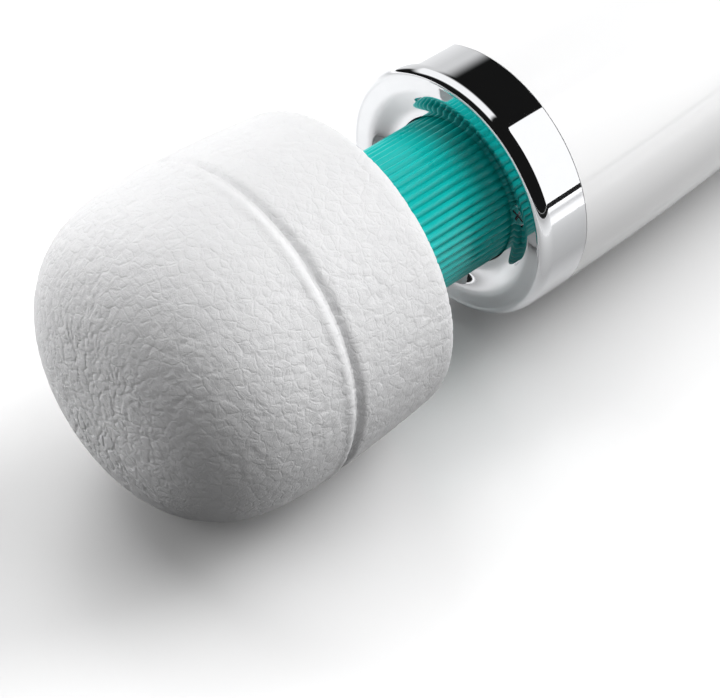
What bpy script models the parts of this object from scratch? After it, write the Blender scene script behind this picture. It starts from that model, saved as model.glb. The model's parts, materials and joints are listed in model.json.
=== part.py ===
"""Cordless wand massager lying on a flat surface, built as separate closed solids.

World frame: metres, +Z up, the padded head at +X and the handle's tail at -X.
Every piece is laid out along the massager's own axis.  A station is a distance along that
axis, counted from the widest section of the head towards the tail.  In the massager's frame
local Z runs along the stations, local X points up and local Y points sideways.
"""

import math

import bmesh
import bpy

MM = 0.001
GAP = 0.3 * MM
MERGE_DISTANCE = 0.01 * MM
CUT_MARGIN = 1.0 * MM
PIVOT_MARK = 5.0 * MM

# Facets around turned pieces
BODY_FACETS = 24
INNER_FACETS = 16
SMALL_FACETS = 10

# Padded head
HEAD_RADIUS = 30.0 * MM
NOSE_LENGTH = 25.84 * MM
NOSE_SQUARENESS = 2.6
NOSE_FULLNESS = 2.97
NOSE_RINGS = 6
NOSE_RING_CROWDING = 1.2
HEAD_BACK = 28.0 * MM
BACK_TAPER = 0.0235
BACK_BOW = 1.6
BACK_EDGE = 2.0 * MM
BACK_EDGE_FULLNESS = 0.3
BACK_MIDDLE = 16.0 * MM
GROOVE_STATION = 4.6 * MM
GROOVE_HALF_WIDTH = 2.2 * MM
GROOVE_DEPTH = 1.1 * MM
CUSHION_WALL = 5.5 * MM
CUSHION_MOUTH = 19.0 * MM
CUSHION_LIP = 2.6 * MM

# Hard core inside the head
CORE_RADIUS = HEAD_RADIUS - CUSHION_WALL - GAP
CORE_WALL = 2.6 * MM
CORE_SPLIT = 12.0 * MM
CORE_BOSS_FRONT = -16.0 * MM
CORE_BOSS_RIB = 2.0 * MM
CORE_DOME_STEP = 4.0 * MM
CORE_DOME_END = -7.0 * MM
BEARING_LIP = 2.0 * MM
BRACKET_LIP = 1.5 * MM
BRACKET_FLANGE = 2.0 * MM
BRACKET_HUB_RADIUS = 11.0 * MM
BRACKET_HUB_END = 18.5 * MM
SOCKET_WALL_START = 22.3 * MM

# Head shaft, its two ball bearings and the off-balance weight
SHAFT_RADIUS = 3.0 * MM
SHAFT_FRONT = -13.4 * MM
SHAFT_SHOULDER = 18.9 * MM
SHAFT_END = 27.0 * MM
STUB_RADIUS = 1.6 * MM
BEARING_RADIUS = 8.0 * MM
BEARING_WIDTH = 4.4 * MM
BEARING_RACE = 1.35 * MM
BALL_ORBIT = 5.65 * MM
BALL_RADIUS = 0.7 * MM
BALL_RING_SIDES = 6
FRONT_BEARING = -13.6 * MM
REAR_BEARING = 13.9 * MM
WEIGHT_RADIUS = 19.0 * MM
WEIGHT_START = -5.0 * MM
WEIGHT_END = 9.0 * MM
WEIGHT_HUB = 5.4 * MM
WEIGHT_FLAT = 0.4 * MM
CLIP_RADIUS = 4.7 * MM
CLIP_WIDTH = 0.8 * MM

# Flexible neck
NECK_RADIUS = 13.9 * MM
NECK_BORE = 11.6 * MM
NECK_FLANGE = 16.3 * MM
NECK_START = 19.6 * MM
NECK_END = 59.8 * MM
FLANGE_WIDTH = 2.4 * MM
CLAMP_BORE = 12.2 * MM
FRONT_CLAMP_START = 17.1 * MM
YAW_STATION = 35.0 * MM
PITCH_STATION = 47.5 * MM

# Flexible drive between the motor and the head shaft
HUB_RADIUS = 4.0 * MM
HUB_FLANGE = 5.7 * MM
HUB_FLANGE_WIDTH = 1.8 * MM
FRONT_HUB_START = 20.2 * MM
FRONT_HUB_END = 28.6 * MM
REAR_HUB_START = 59.4 * MM
REAR_HUB_END = 67.8 * MM
COIL_RADIUS = 5.1 * MM
COIL_WIRE = 0.6 * MM
COIL_TURNS = 7
COIL_STEPS = 10
WIRE_RESOLUTION = 2

# Chrome collar
COLLAR_RADIUS = 24.2 * MM
COLLAR_END = 62.5 * MM
COLLAR_FRONT = 52.1 * MM
COLLAR_EDGE = 2.3 * MM
DISH_DEPTH = 2.25 * MM
DISH_OUTER = 20.2 * MM
DISH_INNER = 15.0 * MM
DISH_RINGS = 8
COLLAR_BORE = 14.3 * MM
COLLAR_WEB_END = 57.1 * MM
SKIRT_RADIUS = 21.7 * MM
SKIRT_BORE = 19.4 * MM
SKIRT_END = 70.0 * MM
SEAL_GROOVE_START = 64.8 * MM
SEAL_GROOVE_END = 66.4 * MM
SEAL_GROOVE_RADIUS = 20.6 * MM
SEAL_WIRE = 0.4 * MM
COLLAR_SCREW_ORBIT = 17.4 * MM
COLLAR_SCREW_ANGLES = (72.0, 252.0)
COLLAR_SCREW_HEAD = 1.85 * MM
COLLAR_SCREW_SHANK = 0.9 * MM
COLLAR_SCREW_START = 54.0 * MM
COLLAR_SCREW_CONE = 1.3 * MM
COLLAR_SCREW_END = 62.4 * MM
REAR_CLAMP_START = 60.1 * MM
REAR_CLAMP_END = 63.0 * MM

# Handle barrel
BARREL_START = COLLAR_END + GAP
BARREL_END = 262.0 * MM
BARREL_WALL = 2.1 * MM
SHOULDER_RADIUS = 24.1 * MM
WAIST_RADIUS = 20.2 * MM
WAIST_STATION = 162.8 * MM
TAIL_RADIUS = 23.0 * MM
BARREL_RINGS = 8

# Tail cap
TAIL_END = 278.0 * MM
TAIL_FACE_RADIUS = 15.5 * MM
TAIL_WALL = 2.6 * MM
TAIL_EDGE_RINGS = 5
TAIL_SKIRT_START = 253.5 * MM
TAIL_SKIRT_RADIUS = 20.55 * MM
TAIL_SKIRT_BORE = 18.2 * MM
TAIL_CURVE_START = 270.0 * MM
TAIL_GROOVE_START = 257.0 * MM
TAIL_GROOVE_END = 258.6 * MM
TAIL_GROOVE_RADIUS = 19.5 * MM
TAIL_SCREW_OFFSET = 10.6 * MM
TAIL_SCREW_HEAD = 2.1 * MM
TAIL_SCREW_SHANK = 1.0 * MM
TAIL_SCREW_SEAT = 1.0 * MM
TAIL_SCREW_START = 265.0 * MM
TAIL_SCREW_TOP = 277.6 * MM

# Motor and its mount
MOUNT_START = 71.0 * MM
MOUNT_PLATE = 2.2 * MM
MOUNT_PLATE_RADIUS = 21.0 * MM
MOUNT_RADIUS = 17.0 * MM
MOUNT_BORE = 15.3 * MM
MOUNT_END = 117.6 * MM
MOTOR_START = 75.0 * MM
MOTOR_END = 112.0 * MM
MOTOR_RADIUS = 13.8 * MM
MOTOR_WALL = 1.2 * MM
MOTOR_FACE = 2.0 * MM
MOTOR_NOSE_RADIUS = 5.0 * MM
MOTOR_NOSE_START = 71.6 * MM
MOTOR_CAP_END = 115.6 * MM
DAMPER_WALL = 0.8 * MM
DAMPER_END = 109.0 * MM
MOTOR_SHAFT_START = 61.8 * MM
MOTOR_SHAFT_END = 114.4 * MM
ARMATURE_RADIUS = 9.2 * MM
ARMATURE_START = 81.0 * MM
ARMATURE_END = 104.0 * MM
COMMUTATOR_RADIUS = 4.2 * MM
COMMUTATOR_END = 110.4 * MM
MAGNET_BORE = 9.9 * MM
MAGNET_START = 79.5 * MM
MAGNET_END = 106.0 * MM
MAGNET_SPLIT = 2.5 * MM
MOTOR_SCREW_OFFSET = 9.0 * MM
MOTOR_SCREW_HEAD = 2.0 * MM
MOTOR_SCREW_SHANK = 1.0 * MM
MOTOR_SCREW_START = 69.4 * MM
MOTOR_SCREW_END = 76.6 * MM

# Chassis and battery
CHASSIS_RADIUS = 17.2 * MM
CHASSIS_WALL = 1.8 * MM
CHASSIS_START = 118.0 * MM
CHASSIS_END = 253.0 * MM
CHASSIS_TOP = 4.0 * MM
CELL_RADIUS = 9.2 * MM
CELL_DROP = -5.4 * MM
CELL_LENGTH = 64.0 * MM
FRONT_CELL = 121.0 * MM
REAR_CELL = 187.0 * MM
CELL_CAP_RADIUS = 3.2 * MM
CELL_CAP_HEIGHT = 1.2 * MM
SADDLE_RADIUS = 15.0 * MM
SADDLE_TOP = 7.7 * MM
SADDLE_WIDTH = 3.0 * MM
SADDLE_STATIONS = (125.0 * MM, 180.0 * MM)
END_PLATE_START = 254.0 * MM
END_PLATE_END = 257.0 * MM
END_PLATE_RADIUS = 17.2 * MM
END_PLATE_TOP = 9.0 * MM
BOSS_RADIUS = 2.9 * MM

# Control board, buttons and status light
BOARD_START = 124.0 * MM
BOARD_END = 193.0 * MM
BOARD_HALF_WIDTH = 11.0 * MM
BOARD_BOTTOM = 8.0 * MM
BOARD_THICKNESS = 1.6 * MM
SWITCH_HALF_WIDTH = 3.0 * MM
SWITCH_TOP = 13.2 * MM
SWITCH_SINK = 1.0 * MM
PLUNGER_RADIUS = 1.5 * MM
PLUNGER_TOP = 13.8 * MM
PANEL_START = 132.8 * MM
PANEL_END = 186.2 * MM
PANEL_HALF_WIDTH = 8.0 * MM
PANEL_BOTTOM = 16.2 * MM
PANEL_TOP = 19.2 * MM
PANEL_CORNER_STEPS = 5
BUTTON_STATIONS = {
    "power_button": 140.0 * MM,
    "speed_down_button": 154.0 * MM,
    "speed_up_button": 166.0 * MM,
    "mode_button": 178.0 * MM,
}
BUTTON_RADIUS = 4.4 * MM
BUTTON_TOP = 20.3 * MM
BUTTON_EDGE = 0.5 * MM
BUTTON_FLANGE_RADIUS = 5.3 * MM
BUTTON_FLANGE_TOP = 15.9 * MM
BUTTON_BOTTOM = 14.9 * MM
LIGHT_STATION = 147.0 * MM
LIGHT_RADIUS = 1.0 * MM
LIGHT_TOP = 19.5 * MM
LIGHT_BOTTOM = 12.0 * MM

# Charging inlet
JACK_RADIUS = 4.7 * MM
JACK_BORE = 3.4 * MM
JACK_START = 263.0 * MM
JACK_END = 277.2 * MM
JACK_FLOOR = 266.0 * MM
JACK_FLANGE_RADIUS = 6.3 * MM
JACK_FLANGE_START = 273.4 * MM

# Leads
LEAD_RADIUS = 0.6 * MM
LEAD_SIDE = 3.6 * MM
LEAD_BEND = 2.6 * MM
LEAD_LIFT = 10.9 * MM
MOTOR_TAG_LIFT = 5.0 * MM
MOTOR_LEAD_LIFT = 10.4 * MM
MOTOR_LEAD_SPREAD = 1.4
CELL_LEAD_LIFT = 6.6 * MM
CELL_LEAD_SPREAD = 1.9
SOLDER_INSET = 7.0 * MM

# Resting pose: head and tail both touch the surface
FLAT_SHARE = math.cos(math.pi / BODY_FACETS)
REST_TILT = math.atan2((HEAD_RADIUS - TAIL_RADIUS) * FLAT_SHARE, BARREL_END)
REST_HEIGHT = HEAD_RADIUS * FLAT_SHARE / math.cos(REST_TILT)
FRAME_X = 126.24 * MM

# Base colour, metallic, roughness
MATERIALS = {
    "cushion_white": ((0.86, 0.86, 0.87), 0.0, 0.62),
    "sleeve_teal": ((0.0, 0.52, 0.45), 0.0, 0.45),
    "chrome": ((0.90, 0.91, 0.93), 1.0, 0.06),
    "gloss_white": ((0.93, 0.93, 0.94), 0.0, 0.12),
    "core_plastic": ((0.30, 0.32, 0.34), 0.0, 0.55),
    "bright_steel": ((0.70, 0.71, 0.73), 1.0, 0.28),
    "weight_brass": ((0.72, 0.55, 0.27), 1.0, 0.35),
    "magnet_grey": ((0.12, 0.12, 0.13), 0.2, 0.6),
    "rubber_black": ((0.04, 0.04, 0.045), 0.0, 0.8),
    "copper": ((0.72, 0.33, 0.18), 1.0, 0.35),
    "board_green": ((0.03, 0.25, 0.12), 0.0, 0.5),
    "cell_blue": ((0.08, 0.22, 0.50), 0.0, 0.4),
    "panel_grey": ((0.62, 0.64, 0.66), 0.0, 0.35),
    "light_amber": ((0.95, 0.60, 0.20), 0.0, 0.2),
    "lead_red": ((0.60, 0.03, 0.03), 0.0, 0.5),
    "lead_black": ((0.03, 0.03, 0.03), 0.0, 0.5),
}


def clear_scene():
    """Remove every object the session starts with."""
    for item in list(bpy.data.objects):
        bpy.data.objects.remove(item, do_unlink=True)


def make_collection(name):
    """Add a collection to the scene."""
    collection = bpy.data.collections.new(name)
    bpy.context.scene.collection.children.link(collection)
    return collection


def make_material(node_name, kind):
    """Give one piece its own Principled material."""
    colour, metallic, roughness = MATERIALS[kind]
    material = bpy.data.materials.new(f"{node_name}_{kind}")
    material.use_nodes = True
    shader = material.node_tree.nodes["Principled BSDF"]
    shader.inputs["Base Color"].default_value = (*colour, 1.0)
    shader.inputs["Metallic"].default_value = metallic
    shader.inputs["Roughness"].default_value = roughness
    material.diffuse_color = (*colour, 1.0)
    return material


class Builder:
    """Places pieces and cutters in the massager's tilted frame."""

    def __init__(self):
        self.parts = make_collection("wand_massager")
        self.cutters = make_collection("wand_massager_cutters")
        self.root = self.add_frame("massager_frame", None, 0.0)
        self.root.location = (FRAME_X, 0.0, REST_HEIGHT)
        self.root.rotation_euler = (0.0, -(math.pi / 2 + REST_TILT), 0.0)
        self.neck = self.add_frame("neck_pitch_pivot", self.root, PITCH_STATION)
        self.head = self.add_frame("neck_yaw_pivot", self.neck, YAW_STATION - PITCH_STATION)
        self.stations = {self.root: 0.0, self.neck: PITCH_STATION, self.head: YAW_STATION}

    def add_frame(self, name, parent, station):
        """Add an empty that pieces hang from."""
        frame = bpy.data.objects.new(name, None)
        frame.empty_display_size = PIVOT_MARK
        frame.parent = parent
        frame.location = (0.0, 0.0, station)
        self.parts.objects.link(frame)
        return frame

    def place(self, item, frame, kind=None, location=(0.0, 0.0, 0.0), rotation=(0.0, 0.0, 0.0)):
        """Hang a piece, or a cutter when it has no material, from a frame."""
        item.parent = frame
        up, side, station = location
        item.location = (up, side, station - self.stations[frame])
        item.rotation_euler = rotation
        if kind is None:
            item.display_type = "WIRE"
            item.hide_render = True
            self.cutters.objects.link(item)
        else:
            item.data.materials.append(make_material(item.name, kind))
            self.parts.objects.link(item)
        return item


def turned(name, profile, facets=INNER_FACETS, closed=True):
    """Turn a profile of (radius, station) points, outer side tail to head, around local Z."""
    mesh = bpy.data.meshes.new(name)
    points = [(radius, 0.0, station) for radius, station in profile]
    edges = [(index, index + 1) for index in range(len(points) - 1)]
    if closed:
        edges.append((len(points) - 1, 0))
    mesh.from_pydata(points, edges, [])
    item = bpy.data.objects.new(name, mesh)
    screw = item.modifiers.new("turn", "SCREW")
    screw.axis = "Z"
    screw.angle = 2.0 * math.pi
    screw.screw_offset = 0.0
    screw.steps = facets
    screw.render_steps = facets
    screw.use_merge_vertices = True
    screw.merge_threshold = MERGE_DISTANCE
    screw.use_smooth_shade = True
    return item


def ring(name, bore, radius, start, end, facets=INNER_FACETS):
    """Plain ring between two stations."""
    profile = [(radius, end), (radius, start), (bore, start), (bore, end)]
    return turned(name, profile, facets)


def rod(name, radius, start, end, facets=SMALL_FACETS):
    """Plain solid rod between two stations."""
    profile = [(0.0, end), (radius, end), (radius, start), (0.0, start)]
    return turned(name, profile, facets, closed=False)


def torus(name, orbit, wire, station, facets, sides):
    """Round ring of round section."""
    profile = []
    for index in range(sides):
        angle = -2.0 * math.pi * index / sides
        profile.append((orbit + wire * math.cos(angle), station + wire * math.sin(angle)))
    return turned(name, profile, facets)


def box(name, up, side, along):
    """Box between (low, high) limits in the massager's frame."""
    mesh = bpy.data.meshes.new(name)
    shape = bmesh.new()
    bmesh.ops.create_cube(shape, size=1.0)
    for vertex in shape.verts:
        for axis, (low, high) in enumerate((up, side, along)):
            vertex.co[axis] = (low + high) / 2 + vertex.co[axis] * (high - low)
    shape.to_mesh(mesh)
    shape.free()
    return bpy.data.objects.new(name, mesh)


def rounded_plate(name, half_width, start, end, bottom, top):
    """Plate with round ends lying flat across local X."""
    centre_low = start + half_width
    centre_high = end - half_width
    outline = []
    for centre, first_angle in ((centre_high, 0.0), (centre_low, math.pi)):
        for step in range(PANEL_CORNER_STEPS + 1):
            angle = first_angle + math.pi * step / PANEL_CORNER_STEPS
            outline.append((half_width * math.cos(angle), centre + half_width * math.sin(angle)))
    mesh = bpy.data.meshes.new(name)
    shape = bmesh.new()
    corners = [shape.verts.new((bottom, side, along)) for side, along in outline]
    face = shape.faces.new(corners)
    grown = bmesh.ops.extrude_face_region(shape, geom=[face])
    raised = [entry for entry in grown["geom"] if isinstance(entry, bmesh.types.BMVert)]
    bmesh.ops.translate(shape, verts=raised, vec=(top - bottom, 0.0, 0.0))
    bmesh.ops.recalc_face_normals(shape, faces=shape.faces)
    shape.to_mesh(mesh)
    shape.free()
    return bpy.data.objects.new(name, mesh)


def combine(item, other, operation):
    """Cut another solid from a piece, or join it on."""
    boolean = item.modifiers.new(f"{operation.lower()}_{other.name}", "BOOLEAN")
    boolean.operation = operation
    boolean.solver = "EXACT"
    boolean.object = other


def nose_radius(depth, length, radius):
    """Radius of the domed nose at a depth ahead of the widest section."""
    share = min(depth / length, 1.0)
    return radius * (1.0 - share ** NOSE_SQUARENESS) ** (1.0 / NOSE_FULLNESS)


def nose_points(length, radius):
    """Dome points from the widest section to the tip, the last one on the axis."""
    points = []
    for index in range(1, NOSE_RINGS):
        depth = length * math.sin(math.pi / 2 * index / NOSE_RINGS) ** NOSE_RING_CROWDING
        points.append((nose_radius(depth, length, radius), -depth))
    points.append((0.0, -length))
    return points


def back_radius(station):
    """Radius of the head behind its widest section."""
    return HEAD_RADIUS - BACK_TAPER * station - BACK_BOW * station * station


def handle_radius(station):
    """Outer radius of the handle, waisted in the middle."""
    if station < WAIST_STATION:
        flare = SHOULDER_RADIUS - WAIST_RADIUS
        share = (WAIST_STATION - station) / (WAIST_STATION - BARREL_START)
    else:
        flare = TAIL_RADIUS - WAIST_RADIUS
        share = (station - WAIST_STATION) / (BARREL_END - WAIST_STATION)
    return WAIST_RADIUS + flare * (1.0 - math.cos(math.pi * share)) / 2


def barrel_stations():
    """Evenly spaced stations from tail to head."""
    length = BARREL_END - BARREL_START
    return [BARREL_END - length * index / BARREL_RINGS for index in range(BARREL_RINGS + 1)]


def build_head(builder):
    """Cushion and the hard core that it is stretched over."""
    half_step = (0.0, 0.0, math.pi / BODY_FACETS)
    edge_start = HEAD_BACK - BACK_EDGE
    edge_radius = back_radius(edge_start)
    edge_step = BACK_EDGE_FULLNESS * BACK_EDGE
    groove_front = GROOVE_STATION - GROOVE_HALF_WIDTH
    groove_back = GROOVE_STATION + GROOVE_HALF_WIDTH
    inner_back = HEAD_BACK - CUSHION_LIP
    outside = [
        (CUSHION_MOUTH, HEAD_BACK),
        (edge_radius - BACK_EDGE, HEAD_BACK),
        (edge_radius - edge_step, HEAD_BACK - edge_step),
        (edge_radius, edge_start),
        (back_radius(BACK_MIDDLE), BACK_MIDDLE),
        (back_radius(groove_back), groove_back),
        (back_radius(GROOVE_STATION) - GROOVE_DEPTH, GROOVE_STATION),
        (back_radius(groove_front), groove_front),
        (HEAD_RADIUS, 0.0),
    ]
    outside += nose_points(NOSE_LENGTH, HEAD_RADIUS)
    hollow_radius = HEAD_RADIUS - CUSHION_WALL
    hollow = nose_points(NOSE_LENGTH - CUSHION_WALL, hollow_radius)
    inside = hollow[::-1]
    inside += [(hollow_radius, 0.0), (hollow_radius, inner_back), (CUSHION_MOUTH, inner_back)]
    cushion = turned("head_cushion", inside + outside, BODY_FACETS, closed=False)
    cushion = builder.place(cushion, builder.head, "cushion_white", rotation=half_step)

    core_nose = NOSE_LENGTH - CUSHION_WALL - GAP
    inner_radius = CORE_RADIUS - CORE_WALL
    boss_radius = BRACKET_HUB_RADIUS
    seat_radius = BEARING_RADIUS + GAP
    seat_floor = FRONT_BEARING - GAP
    boss_end = FRONT_BEARING + BEARING_WIDTH
    front = [
        (0.0, CORE_BOSS_FRONT),
        (seat_radius - BEARING_LIP, CORE_BOSS_FRONT),
        (seat_radius - BEARING_LIP, seat_floor),
        (seat_radius, seat_floor),
        (seat_radius, boss_end),
        (boss_radius, boss_end),
        (boss_radius, CORE_BOSS_FRONT + CORE_BOSS_RIB),
        (inner_radius - CORE_DOME_STEP, CORE_BOSS_FRONT + CORE_DOME_STEP),
        (inner_radius, CORE_DOME_END),
        (inner_radius, CORE_SPLIT),
        (CORE_RADIUS, CORE_SPLIT),
        (CORE_RADIUS, 0.0),
    ]
    front += nose_points(core_nose, CORE_RADIUS)
    core = turned("head_core_front", front, BODY_FACETS, closed=False)
    builder.place(core, builder.head, "core_plastic", rotation=half_step)

    flange_start = CORE_SPLIT + GAP
    flange_end = flange_start + BRACKET_FLANGE
    bracket = [
        (boss_radius, BRACKET_HUB_END),
        (boss_radius, flange_end),
        (CORE_RADIUS, flange_end),
        (CORE_RADIUS, flange_start),
        (seat_radius - BRACKET_LIP, flange_start),
        (seat_radius - BRACKET_LIP, REAR_BEARING - GAP),
        (seat_radius, REAR_BEARING - GAP),
        (seat_radius, BRACKET_HUB_END),
    ]
    holder = turned("rear_bearing_bracket", bracket, BODY_FACETS)
    builder.place(holder, builder.head, "core_plastic", rotation=half_step)

    core_back = inner_back - GAP
    neck_hole = NECK_RADIUS + GAP
    rear = [
        (CORE_RADIUS, core_back),
        (CORE_RADIUS, flange_end + GAP),
        (inner_radius, flange_end + GAP),
        (inner_radius, SOCKET_WALL_START),
        (neck_hole, SOCKET_WALL_START),
        (neck_hole, core_back),
    ]
    socket = turned("head_core_rear", rear, BODY_FACETS)
    builder.place(socket, builder.head, "core_plastic", rotation=half_step)


def build_bearing(builder, prefix, start):
    """Outer race, inner race and the ring of balls between them."""
    end = start + BEARING_WIDTH
    outer = ring(f"{prefix}_bearing_outer_race", BEARING_RADIUS - BEARING_RACE, BEARING_RADIUS, start, end)
    builder.place(outer, builder.head, "bright_steel")
    bore = SHAFT_RADIUS + GAP
    inner = ring(f"{prefix}_bearing_inner_race", bore, bore + BEARING_RACE, start, end)
    builder.place(inner, builder.head, "bright_steel")
    middle = (start + end) / 2
    balls = torus(f"{prefix}_bearing_balls", BALL_ORBIT, BALL_RADIUS, middle, INNER_FACETS, BALL_RING_SIDES)
    builder.place(balls, builder.head, "bright_steel")


def build_head_drive(builder):
    """Shaft, off-balance weight, retaining clip and bearings in the head."""
    build_bearing(builder, "front", FRONT_BEARING)
    build_bearing(builder, "rear", REAR_BEARING)
    steps = [
        (0.0, SHAFT_END),
        (STUB_RADIUS, SHAFT_END),
        (STUB_RADIUS, SHAFT_SHOULDER),
        (SHAFT_RADIUS, SHAFT_SHOULDER),
        (SHAFT_RADIUS, SHAFT_FRONT),
        (0.0, SHAFT_FRONT),
    ]
    shaft = turned("head_shaft", steps, SMALL_FACETS, closed=False)
    builder.place(shaft, builder.head, "bright_steel")
    clip_start = FRONT_BEARING + BEARING_WIDTH + GAP
    clip = ring("shaft_retaining_clip", SHAFT_RADIUS + GAP, CLIP_RADIUS, clip_start, clip_start + CLIP_WIDTH,
                SMALL_FACETS)
    builder.place(clip, builder.head, "bright_steel")
    weight = ring("off_balance_weight", SHAFT_RADIUS + GAP, WEIGHT_RADIUS, WEIGHT_START, WEIGHT_END)
    builder.place(weight, builder.head, "weight_brass")
    far = WEIGHT_RADIUS + CUT_MARGIN
    along = (WEIGHT_START - CUT_MARGIN, WEIGHT_END + CUT_MARGIN)
    sides = {
        "weight_cut_top": ((WEIGHT_HUB, far), (-far, far)),
        "weight_cut_left": ((WEIGHT_FLAT, far), (WEIGHT_HUB, far)),
        "weight_cut_right": ((WEIGHT_FLAT, far), (-far, -WEIGHT_HUB)),
    }
    for name, (up, side) in sides.items():
        cutter = builder.place(box(name, up, side, along), builder.head)
        combine(weight, cutter, "DIFFERENCE")


def build_neck(builder):
    """Ribbed sleeve, its clamp rings and the flexible drive inside it."""
    start_flange = NECK_START + FLANGE_WIDTH
    end_flange = NECK_END - FLANGE_WIDTH
    profile = [
        (NECK_FLANGE, NECK_END),
        (NECK_FLANGE, end_flange),
        (NECK_RADIUS, end_flange),
        (NECK_RADIUS, start_flange),
        (NECK_FLANGE, start_flange),
        (NECK_FLANGE, NECK_START),
        (NECK_BORE, NECK_START),
        (NECK_BORE, NECK_END),
    ]
    builder.place(turned("neck_sleeve", profile), builder.neck, "sleeve_teal")
    clamp_radius = CORE_RADIUS - CORE_WALL - 2 * GAP
    clamp = ring("front_neck_clamp", CLAMP_BORE, clamp_radius, FRONT_CLAMP_START, NECK_START - GAP)
    builder.place(clamp, builder.head, "core_plastic")

    front_hub = [
        (HUB_RADIUS, FRONT_HUB_END),
        (HUB_RADIUS, FRONT_HUB_START + HUB_FLANGE_WIDTH),
        (HUB_FLANGE, FRONT_HUB_START + HUB_FLANGE_WIDTH),
        (HUB_FLANGE, FRONT_HUB_START),
        (STUB_RADIUS + GAP, FRONT_HUB_START),
        (STUB_RADIUS + GAP, FRONT_HUB_END),
    ]
    hub = turned("front_spring_hub", front_hub, SMALL_FACETS)
    builder.place(hub, builder.head, "bright_steel")
    rear_hub = [
        (HUB_FLANGE, REAR_HUB_END),
        (HUB_FLANGE, REAR_HUB_END - HUB_FLANGE_WIDTH),
        (HUB_RADIUS, REAR_HUB_END - HUB_FLANGE_WIDTH),
        (HUB_RADIUS, REAR_HUB_START),
        (STUB_RADIUS + GAP, REAR_HUB_START),
        (STUB_RADIUS + GAP, REAR_HUB_END),
    ]
    hub = turned("rear_spring_hub", rear_hub, SMALL_FACETS)
    builder.place(hub, builder.root, "bright_steel")

    coil_start = FRONT_HUB_START + HUB_FLANGE_WIDTH + COIL_WIRE + GAP
    coil_end = REAR_HUB_END - HUB_FLANGE_WIDTH - COIL_WIRE - GAP
    count = COIL_TURNS * COIL_STEPS
    points = []
    for index in range(count + 1):
        angle = 2.0 * math.pi * index / COIL_STEPS
        station = coil_start + (coil_end - coil_start) * index / count
        points.append((COIL_RADIUS * math.cos(angle), COIL_RADIUS * math.sin(angle), station))
    builder.place(wire("drive_spring", points, COIL_WIRE), builder.root, "bright_steel")


def wire(name, points, radius):
    """Round wire along a run of points."""
    curve = bpy.data.curves.new(name, "CURVE")
    curve.dimensions = "3D"
    curve.bevel_depth = radius
    curve.bevel_resolution = WIRE_RESOLUTION
    curve.use_fill_caps = True
    spline = curve.splines.new("POLY")
    spline.points.add(len(points) - 1)
    for target, point in zip(spline.points, points):
        target.co = (*point, 1.0)
    return bpy.data.objects.new(name, curve)


def dish_points():
    """Dished front of the collar: flat by the rim, then a soft step down to a flat around the neck."""
    points = []
    for index in range(DISH_RINGS + 1):
        share = index / DISH_RINGS
        depth = DISH_DEPTH * share * share * (3.0 - 2.0 * share)
        points.append((DISH_OUTER + (DISH_INNER - DISH_OUTER) * share, COLLAR_FRONT + depth))
    points.append((COLLAR_BORE, COLLAR_FRONT + DISH_DEPTH))
    return points


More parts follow.
